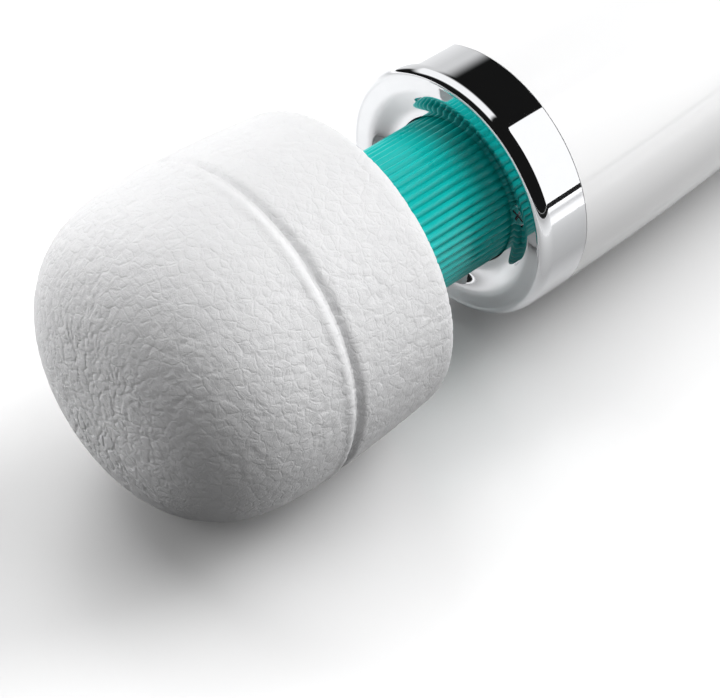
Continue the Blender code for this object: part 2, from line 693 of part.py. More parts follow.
def build_collar(builder):
    """Chrome collar that closes the front of the barrel and grips the neck."""
    half_step = (0.0, 0.0, math.pi / BODY_FACETS)
    diagonal = COLLAR_EDGE * (1.0 - math.sqrt(0.5))
    profile = [
        (SKIRT_RADIUS, SKIRT_END),
        (SKIRT_RADIUS, SEAL_GROOVE_END),
        (SEAL_GROOVE_RADIUS, SEAL_GROOVE_END),
        (SEAL_GROOVE_RADIUS, SEAL_GROOVE_START),
        (SKIRT_RADIUS, SEAL_GROOVE_START),
        (SKIRT_RADIUS, COLLAR_END),
        (COLLAR_RADIUS, COLLAR_END),
        (COLLAR_RADIUS, COLLAR_FRONT + COLLAR_EDGE),
        (COLLAR_RADIUS - diagonal, COLLAR_FRONT + diagonal),
        (COLLAR_RADIUS - COLLAR_EDGE, COLLAR_FRONT),
    ]
    profile += dish_points()
    profile += [(COLLAR_BORE, COLLAR_WEB_END), (SKIRT_BORE, COLLAR_WEB_END), (SKIRT_BORE, SKIRT_END)]
    collar = turned("chrome_collar", profile, BODY_FACETS)
    builder.place(collar, builder.root, "chrome", rotation=half_step)

    seal_orbit = (SEAL_GROOVE_RADIUS + handle_radius(BARREL_START) - BARREL_WALL) / 2
    seal_station = (SEAL_GROOVE_START + SEAL_GROOVE_END) / 2
    seal = torus("collar_seal", seal_orbit, SEAL_WIRE, seal_station, BODY_FACETS, BALL_RING_SIDES)
    builder.place(seal, builder.root, "rubber_black", rotation=half_step)

    clamp_radius = SKIRT_BORE - GAP
    clamp = ring("rear_neck_clamp", CLAMP_BORE, clamp_radius, REAR_CLAMP_START, REAR_CLAMP_END, BODY_FACETS)
    builder.place(clamp, builder.root, "core_plastic", rotation=half_step)

    cone_end = COLLAR_SCREW_START + COLLAR_SCREW_CONE
    for number, degrees in enumerate(COLLAR_SCREW_ANGLES, start=1):
        angle = math.radians(degrees)
        spot = (COLLAR_SCREW_ORBIT * math.cos(angle), COLLAR_SCREW_ORBIT * math.sin(angle), 0.0)
        steps = [
            (0.0, COLLAR_SCREW_END),
            (COLLAR_SCREW_SHANK, COLLAR_SCREW_END),
            (COLLAR_SCREW_SHANK, cone_end),
            (COLLAR_SCREW_HEAD, COLLAR_SCREW_START + GAP),
            (COLLAR_SCREW_HEAD, COLLAR_SCREW_START),
            (0.0, COLLAR_SCREW_START),
        ]
        screw = turned(f"collar_screw_{number}", steps, SMALL_FACETS, closed=False)
        builder.place(screw, builder.root, "bright_steel", spot)
        bore_end = REAR_CLAMP_END + CUT_MARGIN
        head_bore = COLLAR_SCREW_HEAD + GAP
        shank_bore = COLLAR_SCREW_SHANK + GAP
        steps = [
            (0.0, bore_end),
            (shank_bore, bore_end),
            (shank_bore, cone_end + GAP),
            (head_bore, COLLAR_SCREW_START + 2 * GAP),
            (head_bore, COLLAR_FRONT - CUT_MARGIN),
            (0.0, COLLAR_FRONT - CUT_MARGIN),
        ]
        bore = turned(f"collar_screw_bore_{number}", steps, SMALL_FACETS, closed=False)
        builder.place(bore, builder.root, location=spot)
        combine(collar, bore, "DIFFERENCE")
        combine(clamp, bore, "DIFFERENCE")


def build_barrel(builder):
    """Seamless barrel with the opening for the control panel."""
    half_step = (0.0, 0.0, math.pi / BODY_FACETS)
    outer = [(handle_radius(station), station) for station in barrel_stations()]
    inner = [(radius - BARREL_WALL, station) for radius, station in reversed(outer)]
    barrel = turned("handle_barrel", outer + inner, BODY_FACETS)
    builder.place(barrel, builder.root, "gloss_white", rotation=half_step)
    high = SHOULDER_RADIUS + CUT_MARGIN
    opening = rounded_plate("panel_opening", PANEL_HALF_WIDTH, PANEL_START, PANEL_END, CHASSIS_TOP, high)
    builder.place(opening, builder.root)
    combine(barrel, opening, "DIFFERENCE")


def tail_edge_points():
    """Rounded tail from the flat end face out to the barrel's radius."""
    points = []
    depth = TAIL_END - BARREL_END - GAP
    width = TAIL_RADIUS - TAIL_FACE_RADIUS
    for index in range(TAIL_EDGE_RINGS + 1):
        angle = math.pi / 2 * index / TAIL_EDGE_RINGS
        radius = TAIL_FACE_RADIUS + width * math.sin(angle)
        points.append((radius, TAIL_END - depth * (1.0 - math.cos(angle))))
    return points


def build_tail(builder):
    """Tail cap, its seal and screws, the end plate they pull on and the charging inlet."""
    half_step = (0.0, 0.0, math.pi / BODY_FACETS)
    seat = BARREL_END + GAP
    inner_face = TAIL_END - TAIL_WALL
    hole = JACK_RADIUS + GAP
    profile = [(hole, TAIL_END)]
    profile += tail_edge_points()
    profile += [
        (TAIL_SKIRT_RADIUS, seat),
        (TAIL_SKIRT_RADIUS, TAIL_GROOVE_END),
        (TAIL_GROOVE_RADIUS, TAIL_GROOVE_END),
        (TAIL_GROOVE_RADIUS, TAIL_GROOVE_START),
        (TAIL_SKIRT_RADIUS, TAIL_GROOVE_START),
        (TAIL_SKIRT_RADIUS, TAIL_SKIRT_START),
        (TAIL_SKIRT_BORE, TAIL_SKIRT_START),
        (TAIL_SKIRT_BORE, TAIL_CURVE_START),
        (TAIL_FACE_RADIUS, inner_face),
        (hole, inner_face),
    ]
    cap = turned("tail_cap", profile, BODY_FACETS)
    builder.place(cap, builder.root, "gloss_white", rotation=half_step)
    seal_orbit = (TAIL_GROOVE_RADIUS + TAIL_RADIUS - BARREL_WALL) / 2
    seal_station = (TAIL_GROOVE_START + TAIL_GROOVE_END) / 2
    seal = torus("tail_seal", seal_orbit, SEAL_WIRE, seal_station, BODY_FACETS, BALL_RING_SIDES)
    builder.place(seal, builder.root, "rubber_black", rotation=half_step)

    plate = rod("chassis_end_plate", END_PLATE_RADIUS, END_PLATE_START, END_PLATE_END, INNER_FACETS)
    builder.place(plate, builder.root, "core_plastic")
    far = END_PLATE_RADIUS + CUT_MARGIN
    along = (END_PLATE_START - CUT_MARGIN, END_PLATE_END + CUT_MARGIN)
    top_cut = builder.place(box("end_plate_top_cut", (END_PLATE_TOP, far), (-far, far), along), builder.root)
    combine(plate, top_cut, "DIFFERENCE")
    boss_end = inner_face - GAP
    for number, side in enumerate((TAIL_SCREW_OFFSET, -TAIL_SCREW_OFFSET), start=1):
        spot = (0.0, side, 0.0)
        boss = rod(f"end_plate_boss_{number}", BOSS_RADIUS, END_PLATE_START + CUT_MARGIN, boss_end)
        builder.place(boss, builder.root, location=spot)
        combine(plate, boss, "UNION")
        head_start = inner_face + TAIL_SCREW_SEAT
        steps = [
            (0.0, TAIL_SCREW_TOP),
            (TAIL_SCREW_HEAD, TAIL_SCREW_TOP),
            (TAIL_SCREW_HEAD, head_start + GAP),
            (TAIL_SCREW_SHANK, head_start + GAP),
            (TAIL_SCREW_SHANK, TAIL_SCREW_START),
            (0.0, TAIL_SCREW_START),
        ]
        screw = turned(f"tail_screw_{number}", steps, SMALL_FACETS, closed=False)
        builder.place(screw, builder.root, "bright_steel", spot)
        steps = [
            (0.0, TAIL_END + CUT_MARGIN),
            (TAIL_SCREW_HEAD + GAP, TAIL_END + CUT_MARGIN),
            (TAIL_SCREW_HEAD + GAP, head_start),
            (TAIL_SCREW_SHANK + GAP, head_start),
            (TAIL_SCREW_SHANK + GAP, TAIL_SCREW_START - GAP),
            (0.0, TAIL_SCREW_START - GAP),
        ]
        bore = turned(f"tail_screw_bore_{number}", steps, SMALL_FACETS, closed=False)
        builder.place(bore, builder.root, location=spot)
        combine(cap, bore, "DIFFERENCE")
        combine(plate, bore, "DIFFERENCE")

    steps = [
        (JACK_BORE, JACK_END),
        (JACK_RADIUS, JACK_END),
        (JACK_RADIUS, inner_face - GAP),
        (JACK_FLANGE_RADIUS, inner_face - GAP),
        (JACK_FLANGE_RADIUS, JACK_FLANGE_START),
        (JACK_RADIUS, JACK_FLANGE_START),
        (JACK_RADIUS, JACK_START),
        (0.0, JACK_START),
    ]
    steps = [(0.0, JACK_FLOOR), (JACK_BORE, JACK_FLOOR)] + steps
    jack = turned("charging_jack", steps, INNER_FACETS, closed=False)
    builder.place(jack, builder.root, "rubber_black")


def build_motor(builder):
    """Motor, its rubber damper and the cup that holds both in the barrel."""
    nose_bore = MOTOR_NOSE_RADIUS + GAP
    plate_end = MOUNT_START + MOUNT_PLATE
    cup = [
        (MOUNT_RADIUS, MOUNT_END),
        (MOUNT_RADIUS, plate_end),
        (MOUNT_PLATE_RADIUS, plate_end),
        (MOUNT_PLATE_RADIUS, MOUNT_START),
        (nose_bore, MOUNT_START),
        (nose_bore, plate_end),
        (MOUNT_BORE, plate_end),
        (MOUNT_BORE, MOUNT_END),
    ]
    mount = builder.place(turned("motor_mount", cup), builder.root, "core_plastic")
    damper_bore = MOTOR_RADIUS + GAP
    damper_radius = damper_bore + DAMPER_WALL
    damper_front = plate_end + GAP
    sleeve = [
        (damper_radius, DAMPER_END),
        (damper_radius, damper_front),
        (nose_bore, damper_front),
        (nose_bore, MOTOR_START - GAP),
        (damper_bore, MOTOR_START - GAP),
        (damper_bore, DAMPER_END),
    ]
    damper = builder.place(turned("motor_damper", sleeve), builder.root, "rubber_black")
    shaft_bore = STUB_RADIUS + GAP
    can_bore = MOTOR_RADIUS - MOTOR_WALL
    face_end = MOTOR_START + MOTOR_FACE
    shell = [
        (MOTOR_RADIUS, MOTOR_END),
        (MOTOR_RADIUS, MOTOR_START),
        (MOTOR_NOSE_RADIUS, MOTOR_START),
        (MOTOR_NOSE_RADIUS, MOTOR_NOSE_START),
        (shaft_bore, MOTOR_NOSE_START),
        (shaft_bore, face_end),
        (can_bore, face_end),
        (can_bore, MOTOR_END),
    ]
    can = builder.place(turned("motor_can", shell), builder.root, "bright_steel")
    end_cap = [
        (0.0, MOTOR_CAP_END),
        (MOTOR_RADIUS, MOTOR_CAP_END),
        (MOTOR_RADIUS, MOTOR_END + GAP),
        (shaft_bore, MOTOR_END + GAP),
        (shaft_bore, MOTOR_SHAFT_END + GAP),
        (0.0, MOTOR_SHAFT_END + GAP),
    ]
    cap = turned("motor_end_cap", end_cap, closed=False)
    builder.place(cap, builder.root, "core_plastic")
    armature = [
        (COMMUTATOR_RADIUS, COMMUTATOR_END),
        (COMMUTATOR_RADIUS, ARMATURE_END),
        (ARMATURE_RADIUS, ARMATURE_END),
        (ARMATURE_RADIUS, ARMATURE_START),
        (shaft_bore, ARMATURE_START),
        (shaft_bore, COMMUTATOR_END),
    ]
    builder.place(turned("motor_armature", armature), builder.root, "copper")
    shaft = rod("motor_shaft", STUB_RADIUS, MOTOR_SHAFT_START, MOTOR_SHAFT_END)
    builder.place(shaft, builder.root, "bright_steel")
    far = MOTOR_RADIUS
    along = (MAGNET_START - CUT_MARGIN, MAGNET_END + CUT_MARGIN)
    halves = {"upper": (-far, MAGNET_SPLIT), "lower": (-MAGNET_SPLIT, far)}
    for half, up in halves.items():
        magnet = ring(f"{half}_motor_magnet", MAGNET_BORE, can_bore - GAP, MAGNET_START, MAGNET_END)
        builder.place(magnet, builder.root, "magnet_grey")
        cutter = builder.place(box(f"{half}_magnet_cut", up, (-far, far), along), builder.root)
        combine(magnet, cutter, "DIFFERENCE")
    for number, side in enumerate((MOTOR_SCREW_OFFSET, -MOTOR_SCREW_OFFSET), start=1):
        spot = (0.0, side, 0.0)
        head_end = MOUNT_START - GAP
        steps = [
            (0.0, MOTOR_SCREW_END),
            (MOTOR_SCREW_SHANK, MOTOR_SCREW_END),
            (MOTOR_SCREW_SHANK, head_end),
            (MOTOR_SCREW_HEAD, head_end),
            (MOTOR_SCREW_HEAD, MOTOR_SCREW_START),
            (0.0, MOTOR_SCREW_START),
        ]
        screw = turned(f"motor_screw_{number}", steps, SMALL_FACETS, closed=False)
        builder.place(screw, builder.root, "bright_steel", spot)
        bore_end = face_end + CUT_MARGIN
        bore = rod(f"motor_screw_bore_{number}", MOTOR_SCREW_SHANK + GAP, MOTOR_SCREW_START, bore_end)
        builder.place(bore, builder.root, location=spot)
        for piece in (mount, damper, can):
            combine(piece, bore, "DIFFERENCE")


def build_power(builder):
    """Chassis tray, battery cells and the saddles that hold them."""
    tray = ring("chassis_tray", CHASSIS_RADIUS - CHASSIS_WALL, CHASSIS_RADIUS, CHASSIS_START, CHASSIS_END)
    builder.place(tray, builder.root, "core_plastic")
    far = CHASSIS_RADIUS + CUT_MARGIN
    along = (CHASSIS_START - CUT_MARGIN, CHASSIS_END + CUT_MARGIN)
    cutter = builder.place(box("tray_top_cut", (CHASSIS_TOP, far), (-far, far), along), builder.root)
    combine(tray, cutter, "DIFFERENCE")
    for prefix, start in (("front", FRONT_CELL), ("rear", REAR_CELL)):
        can_start = start + CELL_CAP_HEIGHT
        steps = [
            (0.0, start + CELL_LENGTH),
            (CELL_RADIUS, start + CELL_LENGTH),
            (CELL_RADIUS, can_start),
            (CELL_CAP_RADIUS, can_start),
            (CELL_CAP_RADIUS, start),
            (0.0, start),
        ]
        cell = turned(f"{prefix}_battery_cell", steps, closed=False)
        builder.place(cell, builder.root, "cell_blue", (CELL_DROP, 0.0, 0.0))
    for prefix, start in zip(("front", "rear"), SADDLE_STATIONS):
        end = start + SADDLE_WIDTH
        saddle = rod(f"{prefix}_battery_saddle", SADDLE_RADIUS, start, end, INNER_FACETS)
        builder.place(saddle, builder.root, "core_plastic")
        reach = (start - CUT_MARGIN, end + CUT_MARGIN)
        cut = builder.place(box(f"{prefix}_saddle_cut", (SADDLE_TOP, far), (-far, far), reach), builder.root)
        combine(saddle, cut, "DIFFERENCE")
        bore = rod(f"{prefix}_saddle_bore", CELL_RADIUS + GAP, *reach, INNER_FACETS)
        builder.place(bore, builder.root, location=(CELL_DROP, 0.0, 0.0))
        combine(saddle, bore, "DIFFERENCE")


def build_controls(builder):
    """Control board with its switches, the button panel, buttons and status light."""
    upright = (0.0, math.pi / 2, 0.0)
    board_top = BOARD_BOTTOM + BOARD_THICKNESS
    along = (BOARD_START, BOARD_END)
    width = (-BOARD_HALF_WIDTH, BOARD_HALF_WIDTH)
    board = box("control_board", (BOARD_BOTTOM, board_top), width, along)
    builder.place(board, builder.root, "board_green")
    panel = rounded_plate("button_panel", PANEL_HALF_WIDTH - GAP, PANEL_START + GAP, PANEL_END - GAP,
                          PANEL_BOTTOM, PANEL_TOP)
    builder.place(panel, builder.root, "panel_grey")
    body = (-SWITCH_HALF_WIDTH, SWITCH_HALF_WIDTH)
    steps = [
        (0.0, BUTTON_TOP),
        (BUTTON_RADIUS - BUTTON_EDGE, BUTTON_TOP),
        (BUTTON_RADIUS, BUTTON_TOP - BUTTON_EDGE),
        (BUTTON_RADIUS, BUTTON_FLANGE_TOP),
        (BUTTON_FLANGE_RADIUS, BUTTON_FLANGE_TOP),
        (BUTTON_FLANGE_RADIUS, BUTTON_BOTTOM),
        (0.0, BUTTON_BOTTOM),
    ]
    for name, station in BUTTON_STATIONS.items():
        spot = (0.0, 0.0, station)
        button = turned(name, steps, SMALL_FACETS, closed=False)
        builder.place(button, builder.root, "gloss_white", spot, upright)
        bore = rod(f"{name}_bore", BUTTON_RADIUS + GAP, BUTTON_BOTTOM, BUTTON_TOP)
        builder.place(bore, builder.root, location=spot, rotation=upright)
        combine(panel, bore, "DIFFERENCE")
        reach = (station - SWITCH_HALF_WIDTH, station + SWITCH_HALF_WIDTH)
        switch = box(f"{name}_switch", (BOARD_BOTTOM + SWITCH_SINK, SWITCH_TOP), body, reach)
        combine(board, builder.place(switch, builder.root), "UNION")
        plunger = rod(f"{name}_plunger", PLUNGER_RADIUS, SWITCH_TOP - SWITCH_SINK, PLUNGER_TOP)
        builder.place(plunger, builder.root, location=spot, rotation=upright)
        combine(board, plunger, "UNION")
    spot = (0.0, 0.0, LIGHT_STATION)
    light = rod("status_light", LIGHT_RADIUS, LIGHT_BOTTOM, LIGHT_TOP)
    builder.place(light, builder.root, "light_amber", spot, upright)
    bore = rod("status_light_bore", LIGHT_RADIUS + GAP, LIGHT_BOTTOM, LIGHT_TOP)
    builder.place(bore, builder.root, location=spot, rotation=upright)
    combine(panel, bore, "DIFFERENCE")


def build_leads(builder):
    """Leads from the motor, the battery and the charging inlet to the board."""
    board_lift = BOARD_BOTTOM + BOARD_THICKNESS + LEAD_RADIUS + GAP
    solder_front = BOARD_START + SOLDER_INSET
    solder_back = BOARD_END - SOLDER_INSET
    clearance = LEAD_RADIUS + GAP
    motor_back = MOTOR_CAP_END + clearance
    cell_back = REAR_CELL + CELL_LENGTH + clearance
    jack_front = JACK_START - clearance
    for colour, side in (("red", LEAD_SIDE), ("black", -LEAD_SIDE)):
        motor_side = side * MOTOR_LEAD_SPREAD
        cell_side = side * CELL_LEAD_SPREAD
        jack_side = side / 2
        runs = {
            "motor": [
                (MOTOR_TAG_LIFT, side, motor_back),
                (MOTOR_TAG_LIFT + LEAD_BEND, side, motor_back + LEAD_BEND / 2),
                (MOTOR_LEAD_LIFT, motor_side, BOARD_START),
                (board_lift, cell_side, solder_front),
            ],
            "battery": [
                (CELL_DROP, cell_side / 3, cell_back),
                (CELL_LEAD_LIFT - 2 * LEAD_BEND, cell_side / 2, cell_back + LEAD_RADIUS),
                (CELL_LEAD_LIFT, cell_side, cell_back - LEAD_BEND),
                (CELL_LEAD_LIFT + LEAD_RADIUS, cell_side, cell_back - 4 * LEAD_BEND),
                (board_lift, cell_side, BOARD_END + LEAD_BEND),
                (board_lift, cell_side, solder_back),
            ],
            "jack": [
                (LEAD_BEND, jack_side, jack_front),
                (LEAD_LIFT - LEAD_BEND, jack_side, jack_front - LEAD_BEND),
                (LEAD_LIFT, jack_side, END_PLATE_START),
                (LEAD_LIFT, jack_side, BOARD_END + LEAD_BEND),
                (board_lift, jack_side, solder_back),
            ],
        }
        for source, run in runs.items():
            lead = wire(f"{source}_lead_{colour}", run, LEAD_RADIUS)
            builder.place(lead, builder.root, f"lead_{colour}")


def main():
    """Build every piece of the massager."""
    clear_scene()
    builder = Builder()
    build_head(builder)
    build_head_drive(builder)
    build_neck(builder)
    build_collar(builder)
    build_barrel(builder)
    build_tail(builder)
    build_motor(builder)
    build_power(builder)
    build_controls(builder)
    build_leads(builder)


main()
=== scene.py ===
"""Looks of a cordless wand massager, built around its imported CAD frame.

Places come from the frame: the massager's axis, its up direction and the origin of its stations
come from the joints, and lengths and radii come from the CAD nodes.  A station is a distance
along the axis, counted from the head's widest section towards the tail.
"""

import json
import math

import bmesh
import bpy
from mathutils import Matrix, Vector, noise

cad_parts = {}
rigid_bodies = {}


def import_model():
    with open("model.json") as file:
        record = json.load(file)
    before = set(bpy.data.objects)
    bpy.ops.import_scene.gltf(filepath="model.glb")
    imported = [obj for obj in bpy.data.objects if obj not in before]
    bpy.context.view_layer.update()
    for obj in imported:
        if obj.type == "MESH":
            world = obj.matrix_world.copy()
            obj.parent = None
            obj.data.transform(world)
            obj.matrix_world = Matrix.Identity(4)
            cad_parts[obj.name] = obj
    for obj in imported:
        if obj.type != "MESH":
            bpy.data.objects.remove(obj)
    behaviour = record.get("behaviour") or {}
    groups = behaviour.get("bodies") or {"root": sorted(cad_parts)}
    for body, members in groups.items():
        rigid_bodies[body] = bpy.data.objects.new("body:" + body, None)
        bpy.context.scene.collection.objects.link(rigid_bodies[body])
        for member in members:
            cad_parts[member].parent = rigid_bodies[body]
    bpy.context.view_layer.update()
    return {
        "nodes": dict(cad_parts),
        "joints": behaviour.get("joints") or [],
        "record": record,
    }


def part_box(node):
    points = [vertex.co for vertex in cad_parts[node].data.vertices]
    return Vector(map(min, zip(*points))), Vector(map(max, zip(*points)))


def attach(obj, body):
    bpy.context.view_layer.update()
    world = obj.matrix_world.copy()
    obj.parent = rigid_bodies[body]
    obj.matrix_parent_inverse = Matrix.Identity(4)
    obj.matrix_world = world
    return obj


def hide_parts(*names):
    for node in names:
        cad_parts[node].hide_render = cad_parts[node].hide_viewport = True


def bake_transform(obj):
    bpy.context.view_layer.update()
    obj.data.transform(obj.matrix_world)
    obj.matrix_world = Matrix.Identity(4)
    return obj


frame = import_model()

MM = 0.001
MERGE_DISTANCE = 0.002 * MM
SHARP_ANGLE = math.radians(32.0)
ROUND_STEPS = 6

# Studio: each softbox has a direction from the head, a size and a strength
SOFTBOX_DISTANCE = 1.2
MASSAGER_SOFTBOXES = {
    "top_softbox": (Vector((-0.42, 0.12, 0.90)), 0.7, 0.82),
    "window_softbox": (Vector((-0.76, 0.58, 0.03)), 0.7, 0.50),
    "wall_softbox": (Vector((0.32, -0.92, 0.12)), 0.8, 1.0),
}
FLOOR_SOFTBOXES = {
    "floor_softbox_behind": (Vector((-0.84, 0.08, 0.5)), 0.9, 2.3),
    "floor_softbox_front": (Vector((0.7, -0.5, 0.5)), 0.9, 0.6),
    "floor_softbox_near_side": (Vector((-0.61, 0.35, 0.71)), 0.9, 0.65),
    "floor_softbox_far_side": (Vector((-0.2, -0.68, 0.71)), 0.9, 1.25),
}
FLAG_SIDE = 0.33
FLAG_SIZE = Vector((2.0, 0.004, 0.024))
FLAG_HEIGHT = 0.023
# Card seen only in reflections: its glow, from CARD_DARK near the massager to CARD_LIGHT away from it, is
# painted shade of the floor
CARD_LENGTH = 1.0
CARD_HEIGHT = 0.001
CARD_NEAR = 0.018
CARD_FADE = 0.022
CARD_FAR = 0.115
CARD_DARK = 0.42
CARD_LIGHT = 0.92
FLOOR_SIZE = 12.0
FLOOR_CLOUD = 0.4
FADE_CENTRE = 0.1
FADE_NEAR = 0.30
FADE_FAR = 0.85
DOME_LEVEL = 0.33
WINDOW_LEVEL = 1.35
TOP_LEVEL = 1.25
WALL_LEVEL = 0.82
HORIZON_LEVEL = 1.1
DARK_LEVEL = 0.01

# Soft edges of the mirrored boxes: limits of a direction's x or z, or of its tilt from straight up
WINDOW_ACROSS = (-0.60, -0.48)
WINDOW_FOOT = (0.32, 0.44)
WINDOW_HEAD = (1.6, 1.9)
WINDOW_EDGE = (0.97, 1.0)
TOP_FRONT = (0.28, 0.42)
TOP_BACK = (-0.42, -0.26)
TOP_FAR_EDGE = (-1.35, -1.15)
TOP_NEAR_EDGE = (0.08, 0.16)
WALL_EDGE = (-1.08, -0.76)
WALL_FRONT = (-0.12, 0.05)
HORIZON_RISE = 0.3
DOME_FOOT = (-0.04, 0.04)

# Camera: lens, turn and lift of the direction from the head, distance, and offsets to the right and up
LENS = 130.0
SENSOR_WIDTH = 36.0
CAMERA_TURN = math.radians(137.162)
CAMERA_LIFT = math.radians(45.65)
CAMERA_DISTANCE = 0.42935
CAMERA_RIGHT = 0.02339
CAMERA_OVER = -0.0026

# The massager's own directions and the point that stations are counted from
JOINTS = {joint["name"]: joint for joint in frame["joints"]}
AXIS = Vector(JOINTS["weight_spin"]["axis"]).normalized()
UP = Vector(JOINTS["neck_yaw"]["axis"]).normalized()
SIDE = AXIS.cross(UP)
ORIGIN = Vector(JOINTS["weight_spin"]["pos_m"])

# Padded head
NOSE_SQUARENESS = 2.6
NOSE_FULLNESS = 2.97
BACK_TAPER = 0.0235
BACK_BOW = 1.6
HEAD_EDGE = 2.6 * MM
HEAD_WALL = 5.2 * MM
HEAD_LIP = 2.4 * MM
MOUTH_GAP = 0.5 * MM
HEAD_SEGMENTS = 440
HEAD_STEP = 0.45 * MM
HOLLOW_STEPS = 12
OUTLINE_STEPS = 400
CAP_CELLS = HEAD_SEGMENTS // 4
CAP_RADIUS = 14.0 * MM
GROOVE_STATION = 4.4 * MM
GROOVE_WIDTH = 0.9 * MM
GROOVE_DEPTH = 1.0 * MM
RIDGE_STATION = 2.3 * MM
RIDGE_HEIGHT = 0.25 * MM
CREASE_SIZE = 2.6 * MM
CREASE_DEPTH = 0.18 * MM
CREASE_WIDTH = 0.16
CREASE_SEED = 1
CREASE_BENDS = ((0.9, 0.55), (2.3, 0.22))
CREASE_STRENGTH = 0.55
CREASE_VARIATION = 0.45
CREASE_PATCHES = 0.35
PEBBLE_DOME = 0.35

# Ribbed neck sleeve
RIB_COUNT = 54
RIB_SEGMENTS = 8
RIB_DEPTH = 0.6 * MM
RIB_SHARPNESS = 1.1
SLEEVE_WALL = 1.6 * MM
SLEEVE_RINGS = 24
SLEEVE_INSET = 3.0 * MM
SPRING_TURNS = 7
SPRING_STEPS = 40
WIRE_SIDES = 12

# Chrome collar
COLLAR_SEGMENTS = 288
LIP_WIDTH = 1.5 * MM
SHOULDER_LENGTH = 2.4 * MM
LIP_ROUNDING = 0.22 * MM
LIP_SETBACK = 0.1 * MM
DISH_DEPTH = 2.15 * MM
DISH_OUTER = 20.2 * MM
DISH_INNER = 15.0 * MM
NECK_HOLE_GAP = 0.3 * MM
DISH_STEPS = 60
SCREW_RADIUS = 1.95 * MM
SCREW_SEAT = -0.25 * MM
SCREW_ROUNDING = 0.35 * MM
SCREW_RIM = 0.5 * MM
SCREW_HEAD_DEPTH = 1.5 * MM
SCREW_SHANK = 0.9 * MM
COLLAR_CROSS_TURN = 0.4
COLLAR_CROSS_SIZE = Vector((2.6, 0.5, 1.2)) * MM
BORE_DEPTH = 0.7 * MM
BORE_MOUTH_GAP = 0.25 * MM
BORE_FLOOR_GAP = 0.12 * MM
SKIRT_INSET = 2.4 * MM
SKIRT_WALL = 2.3 * MM
WEB_THICKNESS = 2.8 * MM
BARREL_GAP = 0.12 * MM
BAND_CHAMFER = 0.1 * MM
LIP_STEPS = 16

# Handle, panel and buttons
HANDLE_SEGMENTS = 240
HANDLE_STEP = 2.0 * MM
WAIST_REACH = 30.0 * MM
PANEL_RECESS = 0.3 * MM
PANEL_GAP = 0.25 * MM
PANEL_THICKNESS = 2.4 * MM
PANEL_FLOOR = 4.0 * MM
PANEL_HEADROOM = 5.0 * MM
BARREL_WALL = 2.1 * MM
LENS_GAP = 0.1 * MM
LENS_RISE = 0.15 * MM
LENS_ROUNDING = 0.5 * MM
BUTTON_FLANGE = 0.9 * MM
BUTTON_GAP = 0.2 * MM
BUTTON_SINK = 0.05 * MM
BUTTON_ROUNDING = 0.7 * MM
BUTTON_RIM_SINK = 0.1 * MM
BUTTON_MIDDLE_SINK = 0.15 * MM
FLANGE_ROUNDING = 0.2 * MM
SMALL_SEGMENTS = 48

# Signs on the buttons
SIGN_SIZE = 3.2 * MM
SIGN_WIDTH = 0.5 * MM
SIGN_HEIGHT = 0.12 * MM
SIGN_ROUNDING = 0.1 * MM

# Tail cap and charging inlet
CAP_STEPS = 24
CAP_GAP = 0.15 * MM
CAP_SKIRT_INSET = 2.5 * MM
CAP_WALL = 2.0 * MM
CAP_FACE_WALL = 2.6 * MM
CAP_DEPTH = 8.0 * MM
CAP_HOLE = 5.0 * MM
TAIL_SCREW_HEAD = 2.1 * MM
TAIL_SCREW_HEAD_DEPTH = 1.3 * MM
TAIL_SCREW_POCKET = 1.6 * MM
TAIL_SCREW_GAP = 0.2 * MM
TAIL_SCREW_ROUNDING = 0.35 * MM
CAP_HOLE_ROUNDING = 0.25 * MM
FACE_REACH = 0.1 * MM
TAIL_CROSS_TURN = 0.2
TAIL_CROSS_SIZE = Vector((2.4, 0.5, 1.3)) * MM
INLET_RADIUS = 3.4 * MM
INLET_DEPTH = 12.0 * MM
INLET_ROUNDING = 0.3 * MM
PIN_ROUNDING = 0.4 * MM
JACK_RADIUS = 4.7 * MM
JACK_FLANGE_START = 2.2 * MM
JACK_FLANGE_END = 4.0 * MM
PIN_RADIUS = 0.9 * MM
PIN_SETBACK = 3.5 * MM


def place(up, side, station):
    """World point at an offset from the massager's axis."""
    return ORIGIN + UP * up + SIDE * side + AXIS * station


def ring_profile(node):
    """(station, radius) of a CAD node's vertices, measured from the massager's axis."""
    points = []
    for vertex in frame["nodes"][node].data.vertices:
        offset = vertex.co - ORIGIN
        station = offset.dot(AXIS)
        points.append((station, (offset - AXIS * station).length))
    return points


def reach(node):
    """First station, last station and largest radius of a CAD node."""
    points = ring_profile(node)
    stations = [station for station, _ in points]
    return min(stations), max(stations), max(radius for _, radius in points)


def centre_of(node):
    """Middle of a CAD node's box, as an offset (up, side, station)."""
    low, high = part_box(node)
    offset = (low + high) / 2 - ORIGIN
    return offset.dot(UP), offset.dot(SIDE), offset.dot(AXIS)


# Outlines


def rounded(corners, closed=True):
    """Outline through (radius, station, rounding) corners, each eased off over its rounding."""
    points = []
    ends = () if closed else (0, len(corners) - 1)
    for index, (radius, station, rounding) in enumerate(corners):
        corner = Vector((radius, station))
        if rounding == 0.0 or index in ends:
            points.append(corner)
            continue
        before = Vector(corners[index - 1][:2])
        after = Vector(corners[(index + 1) % len(corners)][:2])
        start = corner + (before - corner).normalized() * rounding
        end = corner + (after - corner).normalized() * rounding
        for step in range(ROUND_STEPS + 1):
            share = step / ROUND_STEPS
            points.append(start.lerp(corner, share).lerp(corner.lerp(end, share), share))
    return points


def evenly(points, step):
    """The same outline with its points about one step apart."""
    spaced = [points[0]]
    travelled = 0.0
    for before, after in zip(points, points[1:]):
        travelled += (after - before).length
        if travelled >= step:
            spaced.append(after)
            travelled = 0.0
    if (spaced[-1] - points[-1]).length > MERGE_DISTANCE:
        spaced.append(points[-1])
    return spaced


# Meshes


def link_mesh(name, mesh):
    """Put a mesh in the scene as an object."""
    item = bpy.data.objects.new(name, mesh)
    bpy.context.scene.collection.objects.link(item)
    return item


